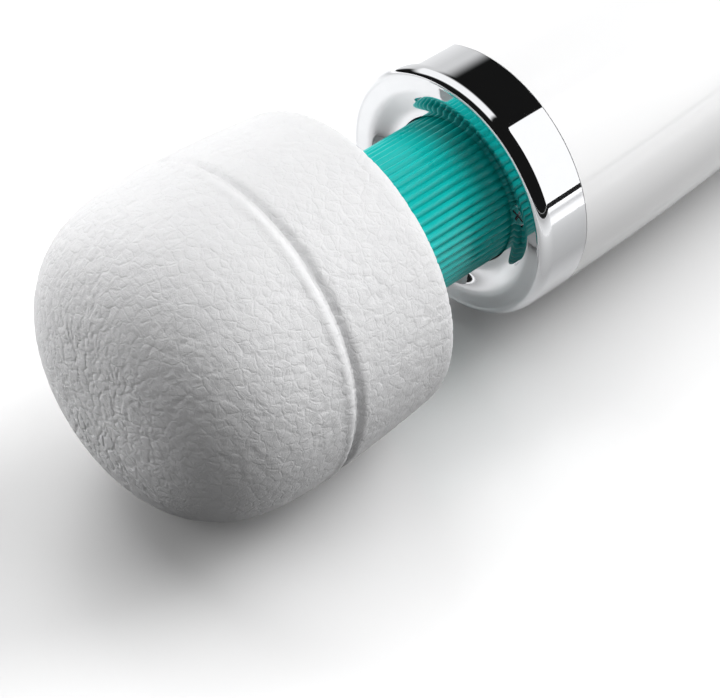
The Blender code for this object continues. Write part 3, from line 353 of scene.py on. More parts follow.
def add_object(name, shape):
    """Turn a bmesh into a linked object."""
    mesh = bpy.data.meshes.new(name)
    shape.to_mesh(mesh)
    shape.free()
    return link_mesh(name, mesh)


def turned(name, outline, segments, centre=ORIGIN, axis=AXIS, start=UP, closed=True):
    """Turned piece from an outline of (radius, height) points, its faces pointing outwards."""
    area = sum(a[0] * b[1] - b[0] * a[1] for a, b in zip(outline, outline[1:] + outline[:1]))
    ordered = outline if area > 0.0 else outline[::-1]
    across = axis.cross(start)
    turns = [2 * math.pi * step / segments for step in range(segments)]
    spokes = [start * math.cos(turn) + across * math.sin(turn) for turn in turns]
    points = []
    rows = []
    for radius, height in ordered:
        hub = centre + axis * height
        if radius < MERGE_DISTANCE:
            rows.append([len(points)] * segments)
            points.append(hub)
        else:
            rows.append(range(len(points), len(points) + segments))
            points += [hub + spoke * radius for spoke in spokes]
    pairs = list(zip(rows, rows[1:])) + ([(rows[-1], rows[0])] if closed else [])
    faces = []
    for near, far in pairs:
        for step in range(segments):
            following = (step + 1) % segments
            corners = (near[step], near[following], far[following], far[step])
            face = tuple(dict.fromkeys(corners))
            if len(face) > 2:
                faces.append(face)
    mesh = bpy.data.meshes.new(name)
    mesh.from_pydata(points, [], faces)
    return link_mesh(name, mesh)


def cut(item, tool, operation="DIFFERENCE"):
    """Cut another solid from a piece, or keep what they share, and drop the tool."""
    modifier = item.modifiers.new(operation.lower(), "BOOLEAN")
    modifier.operation = operation
    modifier.solver = "EXACT"
    modifier.object = tool
    evaluated = item.evaluated_get(bpy.context.evaluated_depsgraph_get())
    mesh = bpy.data.meshes.new_from_object(evaluated)
    item.modifiers.clear()
    item.data = mesh
    bpy.data.objects.remove(tool)
    return item


def slot_prism(name, half_width, start, end, low, high, steps=24):
    """Upright prism with a round-ended outline, between two heights above the axis."""
    shape = bmesh.new()
    corners = []
    for centre, first_angle in ((end - half_width, 0.0), (start + half_width, math.pi)):
        for step in range(steps + 1):
            angle = first_angle + math.pi * step / steps
            side = half_width * math.cos(angle)
            corners.append(shape.verts.new(place(low, side, centre + half_width * math.sin(angle))))
    face = shape.faces.new(corners)
    grown = bmesh.ops.extrude_face_region(shape, geom=[face])
    raised = [entry for entry in grown["geom"] if isinstance(entry, bmesh.types.BMVert)]
    bmesh.ops.translate(shape, verts=raised, vec=UP * (high - low))
    bmesh.ops.recalc_face_normals(shape, faces=shape.faces)
    return add_object(name, shape)


def dress(item, material, body, slot, *nodes):
    """Shade, paint and mount a finished piece, and hide the CAD nodes that it stands for."""
    item.data.shade_smooth()
    item.data.set_sharp_from_angle(angle=SHARP_ANGLE)
    item.data.materials.clear()
    item.data.materials.append(material)
    if nodes:
        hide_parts(*nodes)
    if body:
        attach(item, body)
    return item


# Materials


def add_node(tree, kind, inputs=None, **settings):
    """Add a shader node, with its settings and its input values or links."""
    made = tree.nodes.new(kind)
    for key, value in settings.items():
        setattr(made, key, value)
    for key, value in (inputs or {}).items():
        if isinstance(value, bpy.types.NodeSocket):
            tree.links.new(value, made.inputs[key])
        else:
            made.inputs[key].default_value = value
    return made


def start_material(name):
    """New material, with its node tree, its shader and its object coordinates."""
    material = bpy.data.materials.new(name)
    material.use_nodes = True
    tree = material.node_tree
    shader = tree.nodes["Principled BSDF"]
    place_node = add_node(tree, "ShaderNodeTexCoord")
    return material, tree, shader, place_node.outputs["Object"]


def noise_field(tree, coordinates, size, detail=3.0, roughness=0.5):
    """Noise whose blobs are about one size across, from 0 to 1."""
    made = add_node(tree, "ShaderNodeTexNoise", {
        "Vector": coordinates, "Scale": 1.0 / size, "Detail": detail, "Roughness": roughness})
    return made.outputs["Fac"]


def spread(tree, field, low, high):
    """Map a 0 to 1 field on to a range."""
    made = add_node(tree, "ShaderNodeMapRange", {"Value": field, "To Min": low, "To Max": high})
    return made.outputs["Result"]


def tint(tree, field, first, second):
    """Blend two colours by a field."""
    made = add_node(tree, "ShaderNodeMix", {"Factor": field}, data_type="RGBA")
    made.inputs["A"].default_value = (*first, 1.0)
    made.inputs["B"].default_value = (*second, 1.0)
    return made.outputs["Result"]


def shaded(colour, share):
    """A colour made darker or lighter by a share."""
    return tuple(min(channel * share, 1.0) for channel in colour)


def add_bump(tree, height, depth, normal=None):
    """Bump of a real depth from a 0 to 1 height field."""
    inputs = {"Height": height, "Distance": depth, "Strength": 1.0}
    if normal is not None:
        inputs["Normal"] = normal
    return add_node(tree, "ShaderNodeBump", inputs).outputs["Normal"]


def moulded(name, colour, roughness, metallic=0.0, mottle=0.06, mottle_size=12.0 * MM,
            grain_size=0.5 * MM, grain_depth=0.01 * MM, coat=0.0):
    """Moulded or machined surface: mottled colour, uneven polish and a fine grain."""
    material, tree, shader, coordinates = start_material(name)
    cloud = noise_field(tree, coordinates, mottle_size, 4.0)
    grain = noise_field(tree, coordinates, grain_size, 2.0)
    base = tint(tree, cloud, shaded(colour, 1.0 - mottle), shaded(colour, 1.0 + mottle))
    tree.links.new(base, shader.inputs["Base Color"])
    wear = noise_field(tree, coordinates, mottle_size / 3, 5.0)
    polish = spread(tree, wear, roughness * 0.8, roughness * 1.2)
    tree.links.new(polish, shader.inputs["Roughness"])
    tree.links.new(add_bump(tree, grain, grain_depth), shader.inputs["Normal"])
    shader.inputs["Metallic"].default_value = metallic
    shader.inputs["Coat Weight"].default_value = coat
    return material


def leather_white():
    """Soft-touch white skin with a pressed leather grain."""
    material, tree, shader, coordinates = start_material("white_grained_skin")
    wander = add_node(tree, "ShaderNodeTexNoise", {
        "Vector": coordinates, "Scale": 1.0 / (2.2 * MM), "Detail": 2.0}).outputs["Color"]
    shift = add_node(tree, "ShaderNodeVectorMath", {0: wander, "Scale": 1.3 * MM}, operation="SCALE")
    warped = add_node(tree, "ShaderNodeVectorMath", {
        0: coordinates, 1: shift.outputs["Vector"]}).outputs["Vector"]
    heights = []
    for size, width in ((1.9 * MM, 0.16), (0.8 * MM, 0.12)):
        cells = add_node(tree, "ShaderNodeTexVoronoi", {"Vector": warped, "Scale": 1.0 / size},
                         feature="DISTANCE_TO_EDGE")
        crease = add_node(tree, "ShaderNodeMapRange", {"Value": cells.outputs["Distance"], "From Max": width},
                          interpolation_type="SMOOTHSTEP")
        heights.append(crease.outputs["Result"])
    fade = spread(tree, noise_field(tree, coordinates, 5.0 * MM), 0.2, 1.0)
    coarse = add_node(tree, "ShaderNodeMath", {0: heights[0], 1: fade}, operation="MULTIPLY").outputs["Value"]
    normal = add_bump(tree, coarse, 0.06 * MM)
    normal = add_bump(tree, heights[1], 0.018 * MM, normal)
    normal = add_bump(tree, noise_field(tree, coordinates, 0.25 * MM, 2.0), 0.008 * MM, normal)
    tree.links.new(normal, shader.inputs["Normal"])
    cloud = noise_field(tree, coordinates, 9.0 * MM, 4.0)
    base = tint(tree, cloud, (0.71, 0.71, 0.72), (0.77, 0.77, 0.775))
    tree.links.new(base, shader.inputs["Base Color"])
    tree.links.new(spread(tree, heights[0], 0.72, 0.56), shader.inputs["Roughness"])
    return material


def chrome():
    """Polished chrome plate with a faint haze."""
    material, tree, shader, coordinates = start_material("polished_chrome")
    haze = noise_field(tree, coordinates, 3.0 * MM, 6.0, 0.65)
    tree.links.new(spread(tree, haze, 0.015, 0.05), shader.inputs["Roughness"])
    tree.links.new(tint(tree, haze, (0.71, 0.72, 0.735), (0.75, 0.755, 0.77)), shader.inputs["Base Color"])
    shader.inputs["Metallic"].default_value = 1.0
    return material


def gloss_white():
    """Glossy white lacquered plastic with a slight orange peel."""
    material, tree, shader, coordinates = start_material("gloss_white_plastic")
    cloud = noise_field(tree, coordinates, 30.0 * MM, 3.0)
    tree.links.new(tint(tree, cloud, (0.87, 0.87, 0.873), (0.90, 0.90, 0.903)), shader.inputs["Base Color"])
    polish = spread(tree, noise_field(tree, coordinates, 6.0 * MM, 5.0), 0.10, 0.18)
    tree.links.new(polish, shader.inputs["Roughness"])
    peel = noise_field(tree, coordinates, 1.6 * MM, 1.0)
    tree.links.new(add_bump(tree, peel, 0.004 * MM), shader.inputs["Normal"])
    shader.inputs["Coat Weight"].default_value = 0.3
    shader.inputs["Coat Roughness"].default_value = 0.04
    return material


def teal_rubber():
    """Satin teal silicone, a little darker and duller in blotches."""
    material, tree, shader, coordinates = start_material("teal_silicone")
    cloud = noise_field(tree, coordinates, 5.0 * MM, 4.0)
    tree.links.new(tint(tree, cloud, (0.002, 0.44, 0.41), (0.004, 0.51, 0.48)), shader.inputs["Base Color"])
    tree.links.new(spread(tree, cloud, 0.24, 0.34), shader.inputs["Roughness"])
    shader.inputs["Specular IOR Level"].default_value = 0.35
    shader.inputs["Coat Weight"].default_value = 0.3
    shader.inputs["Coat Roughness"].default_value = 0.16
    grain = noise_field(tree, coordinates, 0.3 * MM, 2.0)
    tree.links.new(add_bump(tree, grain, 0.006 * MM), shader.inputs["Normal"])
    return material


def slot_materials():
    """One procedural material for each of the record's slots."""
    made = {}
    for entry in frame["record"]["materials"]:
        slot = entry["slot"]
        metal = entry["class"] in ("brushed_steel", "brass", "chrome", "cast_iron")
        roughness = {"polished": 0.08, "gloss": 0.15, "satin": 0.35, "matte": 0.6}[entry["finish"]]
        made[slot] = moulded(f"{slot}_surface", entry["base_color"], roughness, 1.0 if metal else 0.0)
    return made


# Pieces


def head_radius(station, widest):
    """Radius of the head behind its widest section, with the ridge and the groove around it."""
    plain = widest - BACK_TAPER * station - BACK_BOW * station * station
    groove = GROOVE_DEPTH * math.exp(-((station - GROOVE_STATION) / GROOVE_WIDTH) ** 2)
    ridge = RIDGE_HEIGHT * math.exp(-((station - RIDGE_STATION) / GROOVE_WIDTH) ** 2)
    return plain - groove + ridge


def nose_outline(length, widest, steps):
    """Dome from its tip on the axis to the widest section."""
    points = []
    for step in range(steps + 1):
        angle = math.pi / 2 * step / steps
        radius = widest * math.sin(angle) ** (2 / NOSE_FULLNESS)
        depth = length * max(math.cos(angle), 0.0) ** (2 / NOSE_SQUARENESS)
        points.append(Vector((radius, -depth)))
    return points


def nose_depth(radius, length, widest):
    """How far the dome stands out at some distance from the axis."""
    return length * (1.0 - (radius / widest) ** NOSE_FULLNESS) ** (1 / NOSE_SQUARENESS)


def close_nose(head, length, widest):
    """Close the open end of the nose with a square grid, so that its mesh stays even at the tip."""
    shape = bmesh.new()
    cells = CAP_CELLS
    rows = []
    for row in range(cells + 1):
        line = []
        for column in range(cells + 1):
            across, along = 2 * column / cells - 1, 2 * row / cells - 1
            ring = max(abs(across), abs(along))
            if ring == 0.0:
                turn = 0.0
            elif abs(across) >= abs(along):
                turn = math.pi / 4 * along / across + (0.0 if across > 0.0 else math.pi)
            else:
                turn = math.pi / 2 - math.pi / 4 * across / along + (0.0 if along > 0.0 else math.pi)
            radius = CAP_RADIUS * ring
            spoke = UP * math.cos(turn) + SIDE * math.sin(turn)
            line.append(shape.verts.new(ORIGIN + spoke * radius - AXIS * nose_depth(radius, length, widest)))
        rows.append(line)
    for near, far in zip(rows, rows[1:]):
        for step in range(cells):
            shape.faces.new((near[step], far[step], far[step + 1], near[step + 1]))
    shape.from_mesh(head.data)
    bmesh.ops.remove_doubles(shape, verts=shape.verts, dist=MERGE_DISTANCE)
    bmesh.ops.recalc_face_normals(shape, faces=shape.faces)
    shape.to_mesh(head.data)
    shape.free()


def crease_height(point):
    """Pressed leather grain: irregular pebbles with creases between them, from -1 to 0."""
    spot = point / CREASE_SIZE
    bend = Vector((0.0, 0.0, 0.0))
    for fineness, amount in CREASE_BENDS:
        bend += noise.noise_vector(spot * fineness) * amount
    distances = noise.voronoi(spot + bend)[0]
    crease = max(0.0, 1.0 - (distances[1] - distances[0]) / CREASE_WIDTH)
    strength = CREASE_STRENGTH + CREASE_VARIATION * noise.noise(spot * CREASE_PATCHES)
    return -strength * crease * crease * (3.0 - 2.0 * crease) - PEBBLE_DOME * distances[0]


def build_head(materials):
    """Padded head: a hollow cap whose skin carries the pressed grain in its mesh."""
    tip, back, widest = reach("head_cushion")
    mouth = neck_radius() + MOUTH_GAP
    edge = head_radius(back, widest)
    outline = nose_outline(-tip, widest, OUTLINE_STEPS)
    side_end = back - HEAD_EDGE
    for step in range(1, OUTLINE_STEPS):
        station = side_end * step / OUTLINE_STEPS
        outline.append(Vector((head_radius(station, widest), station)))
    outline += rounded([
        (head_radius(side_end, widest), side_end, 0.0),
        (edge, back, HEAD_EDGE),
        (mouth + HEAD_LIP, back, 0.0),
        (mouth, back, HEAD_LIP / 2),
        (mouth, back - HEAD_LIP, 0.0)], closed=False)
    skin = [point for point in evenly(outline, HEAD_STEP) if point.x > CAP_RADIUS or point.y > 0.0]
    hollow_end = back - HEAD_LIP
    hollow = [Vector((widest - HEAD_WALL, hollow_end))]
    hollow += reversed(nose_outline(-tip - HEAD_WALL, widest - HEAD_WALL, HOLLOW_STEPS))
    rim = Vector((CAP_RADIUS, -nose_depth(CAP_RADIUS, -tip, widest)))
    head = turned("head_cushion_skin", [rim] + skin + hollow, HEAD_SEGMENTS, closed=False)
    close_nose(head, -tip, widest)
    # Without a seed, noise_vector takes its offsets from the clock, and each run has another grain.
    noise.seed_set(CREASE_SEED)
    moved = []
    for vertex in head.data.vertices:
        offset = vertex.co - ORIGIN
        station = offset.dot(AXIS)
        radius = (offset - AXIS * station).length
        fade = 1.0
        if station > side_end:
            fade = min(max((radius - mouth - HEAD_LIP) / HEAD_LIP, 0.0), 1.0)
        moved.append(vertex.co + vertex.normal * (CREASE_DEPTH * fade * crease_height(vertex.co)))
    for vertex, point in zip(head.data.vertices, moved):
        vertex.co = point
    dress(head, materials["leather"], "head", "cushion_white", "head_cushion")


def neck_radius():
    """Outer radius of the sleeve between its flanges."""
    start, end, _ = reach("neck_sleeve")
    middle = [radius for station, radius in ring_profile("neck_sleeve") if start < station < end]
    plain = sorted(set(round(radius / MM, 2) for radius in middle))
    return plain[-2] * MM if len(plain) > 2 else plain[-1] * MM


def build_sleeve(materials):
    """Ribbed sleeve in two halves that meet between the two ways that the neck bends."""
    radius = neck_radius()
    bore = radius - SLEEVE_WALL
    start, end, _ = reach("neck_sleeve")
    middle = neck_bends()[1]
    halves = {
        "neck_sleeve_front": (start + SLEEVE_INSET, middle, True),
        "neck_sleeve_rear": (middle, end - SLEEVE_INSET, False),
    }
    for name, (low, high, is_front) in halves.items():
        stations = [low + (high - low) * step / SLEEVE_RINGS for step in range(SLEEVE_RINGS + 1)]
        outline = [Vector((radius, station)) for station in stations]
        outline += [Vector((bore, station)) for station in reversed(stations)]
        sleeve = turned(name, outline, RIB_COUNT * RIB_SEGMENTS)
        for vertex in sleeve.data.vertices:
            offset = vertex.co - ORIGIN
            spoke = offset - AXIS * offset.dot(AXIS)
            if spoke.length > (radius + bore) / 2:
                turn = math.atan2(spoke.dot(SIDE), spoke.dot(UP))
                hollow = 1.0 - abs(math.cos(turn * RIB_COUNT / 2)) ** RIB_SHARPNESS
                vertex.co -= spoke.normalized() * (RIB_DEPTH * hollow)
        dress(sleeve, materials["teal"], None, "sleeve_teal", "neck_sleeve")
        bend(sleeve, is_front)


def neck_bends():
    """Stations where the neck's bend ends by the head, where its halves meet, and where it begins."""
    yaw = (Vector(JOINTS["neck_yaw"]["pos_m"]) - ORIGIN).dot(AXIS)
    pitch = (Vector(JOINTS["neck_pitch"]["pos_m"]) - ORIGIN).dot(AXIS)
    half_bend = (pitch - yaw) / 2
    return yaw - half_bend, (yaw + pitch) / 2, pitch + half_bend


def bend(item, is_front):
    """Bake a half of the neck's placement into its mesh, the same way for either half; it does not bend."""
    if is_front:
        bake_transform(item)
    else:
        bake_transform(item)


def build_spring(materials):
    """Coil spring inside the neck, in two halves split where the sleeve's halves meet."""
    radii = [radius for _, radius in ring_profile("drive_spring")]
    wire = (max(radii) - min(radii)) / 2
    coil = max(radii) - wire
    first, last, _ = reach("drive_spring")
    start, length = first + wire, last - first - 2 * wire
    share = (neck_bends()[1] - start) / length
    for name, low, high in (("drive_spring_front", 0.0, share), ("drive_spring_rear", share, 1.0)):
        steps = round(SPRING_TURNS * SPRING_STEPS * (high - low))
        points = []
        faces = []
        for step in range(steps + 1):
            along = low + (high - low) * step / steps
            turn = 2 * math.pi * SPRING_TURNS * along
            spoke = UP * math.cos(turn) + SIDE * math.sin(turn)
            centre = ORIGIN + spoke * coil + AXIS * (start + length * along)
            for side in range(WIRE_SIDES):
                angle = 2 * math.pi * side / WIRE_SIDES
                points.append(centre + (spoke * math.cos(angle) + AXIS * math.sin(angle)) * wire)
        for step in range(steps):
            ring = step * WIRE_SIDES
            for side in range(WIRE_SIDES):
                after = (side + 1) % WIRE_SIDES
                faces.append((ring + side, ring + after, ring + WIRE_SIDES + after, ring + WIRE_SIDES + side))
        faces.append(tuple(range(WIRE_SIDES - 1, -1, -1)))
        faces.append(tuple(range(steps * WIRE_SIDES, (steps + 1) * WIRE_SIDES)))
        mesh = bpy.data.meshes.new(name)
        mesh.from_pydata(points, [], faces)
        spring = link_mesh(name, mesh)
        dress(spring, materials["steel"], None, "bright_steel", "drive_spring")
        bend(spring, name == "drive_spring_front")


def dish_outline(front, lip_radius, hole):
    """Dished front of the collar: flat by the lip, then a soft step down to a flat around the neck."""
    points = []
    for step in range(DISH_STEPS + 1):
        radius = lip_radius + (hole - lip_radius) * step / DISH_STEPS
        points.append((radius, front + dish_depth(radius), 0.0))
    return points


def dish_depth(radius):
    """How far the dish lies behind its lip."""
    share = min(max((DISH_OUTER - radius) / (DISH_OUTER - DISH_INNER), 0.0), 1.0)
    return LIP_SETBACK + DISH_DEPTH * share * share * (3.0 - 2.0 * share)


def build_collar(materials):
    """Chrome collar with a dished front, and its two countersunk screws."""
    front, skirt_end, _ = reach("chrome_collar")
    barrel_start, _, barrel_radius = reach("handle_barrel")
    band = max(radius for _, radius in ring_profile("chrome_collar"))
    skirt = barrel_radius - SKIRT_INSET
    hole = neck_radius() + NECK_HOLE_GAP
    web_end = front + DISH_DEPTH + WEB_THICKNESS
    end = barrel_start - BARREL_GAP
    lip = band - LIP_WIDTH
    corners = [
        (skirt, skirt_end, 0.0),
        (skirt, end, 0.0),
        (band - BAND_CHAMFER, end, 0.0),
        (band, end - BAND_CHAMFER, 0.0),
    ]
    for step in range(LIP_STEPS + 1):
        angle = math.pi / 2 * step / LIP_STEPS
        station = front + SHOULDER_LENGTH * (1.0 - math.sin(angle))
        corners.append((lip + LIP_WIDTH * math.cos(angle), station, 0.0))
    corners += dish_outline(front, lip - LIP_ROUNDING, hole)
    bore = skirt - SKIRT_WALL
    corners += [(hole, web_end, 0.0), (bore, web_end, 0.0), (bore, skirt_end, 0.0)]
    collar = turned("chrome_collar_shell", rounded(corners), COLLAR_SEGMENTS)
    for number in (1, 2):
        build_collar_screw(f"collar_screw_{number}", front, collar, materials)
    dress(collar, materials["chrome"], "handle", "chrome", "chrome_collar")


def build_collar_screw(node, front, collar, materials):
    """Small screw in the dish, in its own bore."""
    up, side, _ = centre_of(node)
    _, finish, _ = reach(node)
    seat = front + dish_depth(math.hypot(up, side)) + SCREW_SEAT
    spot = place(up, side, 0.0)
    mouth = front - MM
    floor = seat + BORE_DEPTH
    bore = rounded([
        (0.0, mouth, 0.0),
        (SCREW_RADIUS + BORE_MOUTH_GAP, mouth, 0.0),
        (SCREW_RADIUS + BORE_FLOOR_GAP, floor, 0.0),
        (0.0, floor, 0.0)], closed=False)
    cut(collar, turned(f"{node}_bore", bore, SMALL_SEGMENTS, centre=spot, closed=False))
    outline = rounded([
        (0.0, seat, 0.0),
        (SCREW_RADIUS, seat, SCREW_ROUNDING),
        (SCREW_RADIUS, seat + SCREW_RIM, 0.0),
        (SCREW_SHANK, seat + SCREW_HEAD_DEPTH, 0.0),
        (SCREW_SHANK, finish, 0.0),
        (0.0, finish, 0.0)], closed=False)
    screw = turned(f"{node}_detail", outline, SMALL_SEGMENTS, centre=spot, closed=False)
    cut_cross(node, screw, place(up, side, seat), COLLAR_CROSS_TURN, COLLAR_CROSS_SIZE)
    dress(screw, materials["steel"], "handle", "bright_steel", node)


def cut_cross(node, screw, centre, first_turn, size):
    """Cut a cross recess into a screw's head."""
    for turn in (first_turn, first_turn + math.pi / 2):
        along = UP * math.cos(turn) + SIDE * math.sin(turn)
        cut(screw, bar(f"{node}_recess", centre, along, AXIS, *size))


def bar(name, centre, along, upright, length, width, height, rounding=0.0):
    """Bar around a centre, lying along one direction and standing along another."""
    across = upright.cross(along)
    turn = Matrix((along, across, upright)).transposed().to_4x4()
    shape = bmesh.new()
    bmesh.ops.create_cube(shape, size=1.0)
    if rounding:
        for vertex in shape.verts:
            vertex.co = Vector((vertex.co.x * length, vertex.co.y * width, vertex.co.z * height))
        bmesh.ops.bevel(shape, geom=shape.edges[:], offset=rounding, segments=3, affect="EDGES", profile=0.5)
        bmesh.ops.transform(shape, matrix=Matrix.Translation(centre) @ turn, verts=shape.verts)
    else:
        size = Matrix.Diagonal((length, width, height, 1.0))
        bmesh.ops.transform(shape, matrix=Matrix.Translation(centre) @ turn @ size, verts=shape.verts)
    return add_object(name, shape)


def barrel_profile():
    """Stations and radii of the barrel's shoulder, waist and tail, read off its CAD rings."""
    rings = {}
    for station, radius in ring_profile("handle_barrel"):
        key = round(station / MM)
        rings[key] = max(rings.get(key, 0.0), radius)
    start, end = min(rings), max(rings)
    near_middle = [key for key in rings if abs(key - (start + end) / 2) * MM < WAIST_REACH]
    waist = min(near_middle, key=rings.get)
    return [(key * MM, rings[key]) for key in (start, waist, end)]


def handle_radius(station, profile):
    """Outer radius of the waisted handle."""
    (start, shoulder), (middle, waist), (end, tail) = profile
    if station < middle:
        share, flare = (middle - station) / (middle - start), shoulder - waist
    else:
        share, flare = (station - middle) / (end - middle), tail - waist
    return waist + flare * (1.0 - math.cos(math.pi * min(share, 1.0))) / 2


def barrel_shell(name, profile, sink, wall):
    """Tube that follows the handle's outline, sunk below it by some depth."""
    start, end, _ = reach("handle_barrel")
    steps = int((end - start) / HANDLE_STEP)
    stations = [start + (end - start) * step / steps for step in range(steps + 1)]
    outside = [Vector((handle_radius(station, profile) - sink, station)) for station in stations]
    inside = [Vector((point[0] - wall, point[1])) for point in reversed(outside)]
    return turned(name, outside + inside, HANDLE_SEGMENTS)


def build_barrel(materials):
    """Seamless gloss barrel with the panel let into its top."""
    profile = barrel_profile()
    panel_start, panel_end, _ = reach("button_panel")
    low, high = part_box("button_panel")
    half_width = (high.y - low.y) / 2
    top = handle_radius(panel_start, profile) + PANEL_HEADROOM
    shell = barrel_shell("handle_barrel_shell", profile, 0.0, BARREL_WALL)
    cut(shell, slot_prism("panel_opening", half_width + PANEL_GAP, panel_start - PANEL_GAP,
                          panel_end + PANEL_GAP, PANEL_FLOOR, top))
    dress(shell, materials["gloss"], "handle", "gloss_white", "handle_barrel")
    panel = barrel_shell("button_panel_inlay", profile, PANEL_RECESS, PANEL_THICKNESS)
    cut(panel, slot_prism("panel_outline", half_width, panel_start, panel_end, PANEL_FLOOR, top), "INTERSECT")
    for node in ("power_button", "speed_down_button", "speed_up_button", "mode_button"):
        build_button(node, panel, materials)
    up, side, station = centre_of("status_light")
    spot = place(0.0, side, station)
    lens_low, lens_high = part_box("status_light")
    lens_radius = (lens_high.y - lens_low.y) / 2
    drill(panel, "status_light_hole", spot, lens_radius + LENS_GAP, 0.0, top)
    height = handle_radius(station, profile) - PANEL_RECESS + LENS_RISE
    outline = rounded([
        (0.0, up, 0.0),
        (lens_radius, up, 0.0),
        (lens_radius, height, LENS_ROUNDING),
        (0.0, height, 0.0)], closed=False)
    lens = turned("status_light_lens", outline, SMALL_SEGMENTS, spot, UP, AXIS, closed=False)
    dress(lens, materials["light_amber"], "handle", "light_amber", "status_light")
    dress(panel, materials["panel"], "handle", "panel_grey", "button_panel")


def drill(item, name, centre, radius, low, high):
    """Drill an upright hole between two heights above the axis."""
    hole = [Vector((0.0, low)), Vector((radius, low)), Vector((radius, high)), Vector((0.0, high))]
    cut(item, turned(name, hole, SMALL_SEGMENTS, centre, UP, AXIS, closed=False))


def build_button(node, panel, materials):
    """Round push button with an eased edge, in its hole in the panel, with a raised sign on top."""
    low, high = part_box(node)
    centre_up, side, station = centre_of(node)
    flange = (high.y - low.y) / 2
    radius = flange - BUTTON_FLANGE
    height = centre_up + (high - low).dot(UP) / 2 - BUTTON_SINK
    bottom = 2 * centre_up - height
    spot = place(0.0, side, station)
    drill(panel, f"{node}_hole", spot, radius + BUTTON_GAP, bottom, height + PANEL_HEADROOM)
    outline = rounded([
        (0.0, bottom, 0.0),
        (flange, bottom, 0.0),
        (flange, bottom + MM, FLANGE_ROUNDING),
        (radius, bottom + MM, 0.0),
        (radius, height - BUTTON_RIM_SINK, BUTTON_ROUNDING),
        (0.0, height - BUTTON_MIDDLE_SINK, 0.0)], closed=False)
    button = turned(f"{node}_cap", outline, SMALL_SEGMENTS * 2, spot, UP, AXIS, closed=False)
    dress(button, materials["gloss"], f"{node}_body", "gloss_white", node)
    for sign in button_signs(node, spot, height - SIGN_ROUNDING):
        dress(sign, materials["sign"], f"{node}_body", "panel_grey")


def button_signs(node, spot, top):
    """Raised ring for power, bar for slower, cross for faster and three pips for the mode."""
    low, high = top - MM, top + SIGN_HEIGHT
    inner, outer = SIGN_SIZE / 2 - SIGN_WIDTH, SIGN_SIZE / 2
    if node == "power_button":
        outline = rounded([
            (inner, low, 0.0),
            (outer, low, 0.0),
            (outer, high, SIGN_ROUNDING),
            (inner, high, SIGN_ROUNDING)])
        return [turned(f"{node}_sign", outline, SMALL_SEGMENTS, spot, UP, AXIS)]
    if node == "mode_button":
        outline = rounded([
            (0.0, low, 0.0),
            (SIGN_WIDTH, low, 0.0),
            (SIGN_WIDTH, high, SIGN_ROUNDING),
            (0.0, high, 0.0)], closed=False)
        spots = [spot + SIDE * SIGN_SIZE / 3 * (number - 1) for number in range(3)]
        return [turned(f"{node}_sign_{number}", outline, SMALL_SEGMENTS, pip, UP, AXIS, closed=False)
                for number, pip in enumerate(spots)]
    ways = (SIDE,) if node == "speed_down_button" else (SIDE, AXIS)
    middle = spot + UP * (high - MM / 2)
    return [bar(f"{node}_sign_{number}", middle, way, UP, SIGN_SIZE, SIGN_WIDTH, MM, SIGN_ROUNDING)
            for number, way in enumerate(ways)]


def build_tail(materials):
    """Rounded tail cap with its two screws and the charging inlet."""
    seat = reach("handle_barrel")[1] + CAP_GAP
    skirt_start, end, radius = reach("tail_cap")
    face = max(spot for station, spot in ring_profile("tail_cap") if end - station < FACE_REACH)
    corners = [(CAP_HOLE, end, CAP_HOLE_ROUNDING)]
    for step in range(CAP_STEPS + 1):
        angle = math.pi / 2 * step / CAP_STEPS
        station = end - (end - seat) * (1.0 - math.cos(angle))
        corners.append((face + (radius - face) * math.sin(angle), station, 0.0))
    skirt = radius - CAP_SKIRT_INSET
    bore = skirt - CAP_WALL
    inside = end - CAP_FACE_WALL
    corners += [(skirt, seat, 0.0), (skirt, skirt_start, 0.0), (bore, skirt_start, 0.0)]
    corners += [(bore, end - CAP_DEPTH, 0.0), (face, inside, 0.0), (CAP_HOLE, inside, 0.0)]
    cap = turned("tail_cap_shell", rounded(corners), HANDLE_SEGMENTS)
    for number in (1, 2):
        build_tail_screw(f"tail_screw_{number}", end, cap, materials)
    dress(cap, materials["gloss"], "handle", "gloss_white", "tail_cap")
    build_inlet(end, materials)


def build_tail_screw(node, end, cap, materials):
    """Screw in a pocket of the tail cap."""
    up, side, _ = centre_of(node)
    low, high, _ = reach(node)
    spot = place(up, side, 0.0)
    floor = high - TAIL_SCREW_POCKET
    pocket = TAIL_SCREW_HEAD + TAIL_SCREW_GAP
    mouth = end + MM
    bore = [Vector((0.0, floor)), Vector((pocket, floor)), Vector((pocket, mouth)), Vector((0.0, mouth))]
    cut(cap, turned(f"{node}_bore", bore, SMALL_SEGMENTS, centre=spot, closed=False))
    neck = high - TAIL_SCREW_HEAD_DEPTH
    outline = rounded([
        (0.0, low, 0.0),
        (MM, low, 0.0),
        (MM, neck, 0.0),
        (TAIL_SCREW_HEAD, neck, 0.0),
        (TAIL_SCREW_HEAD, high, TAIL_SCREW_ROUNDING),
        (0.0, high, 0.0)], closed=False)
    screw = turned(f"{node}_detail", outline, SMALL_SEGMENTS, centre=spot, closed=False)
    cut_cross(node, screw, place(up, side, high), TAIL_CROSS_TURN, TAIL_CROSS_SIZE)
    dress(screw, materials["steel"], "handle", "bright_steel", node)


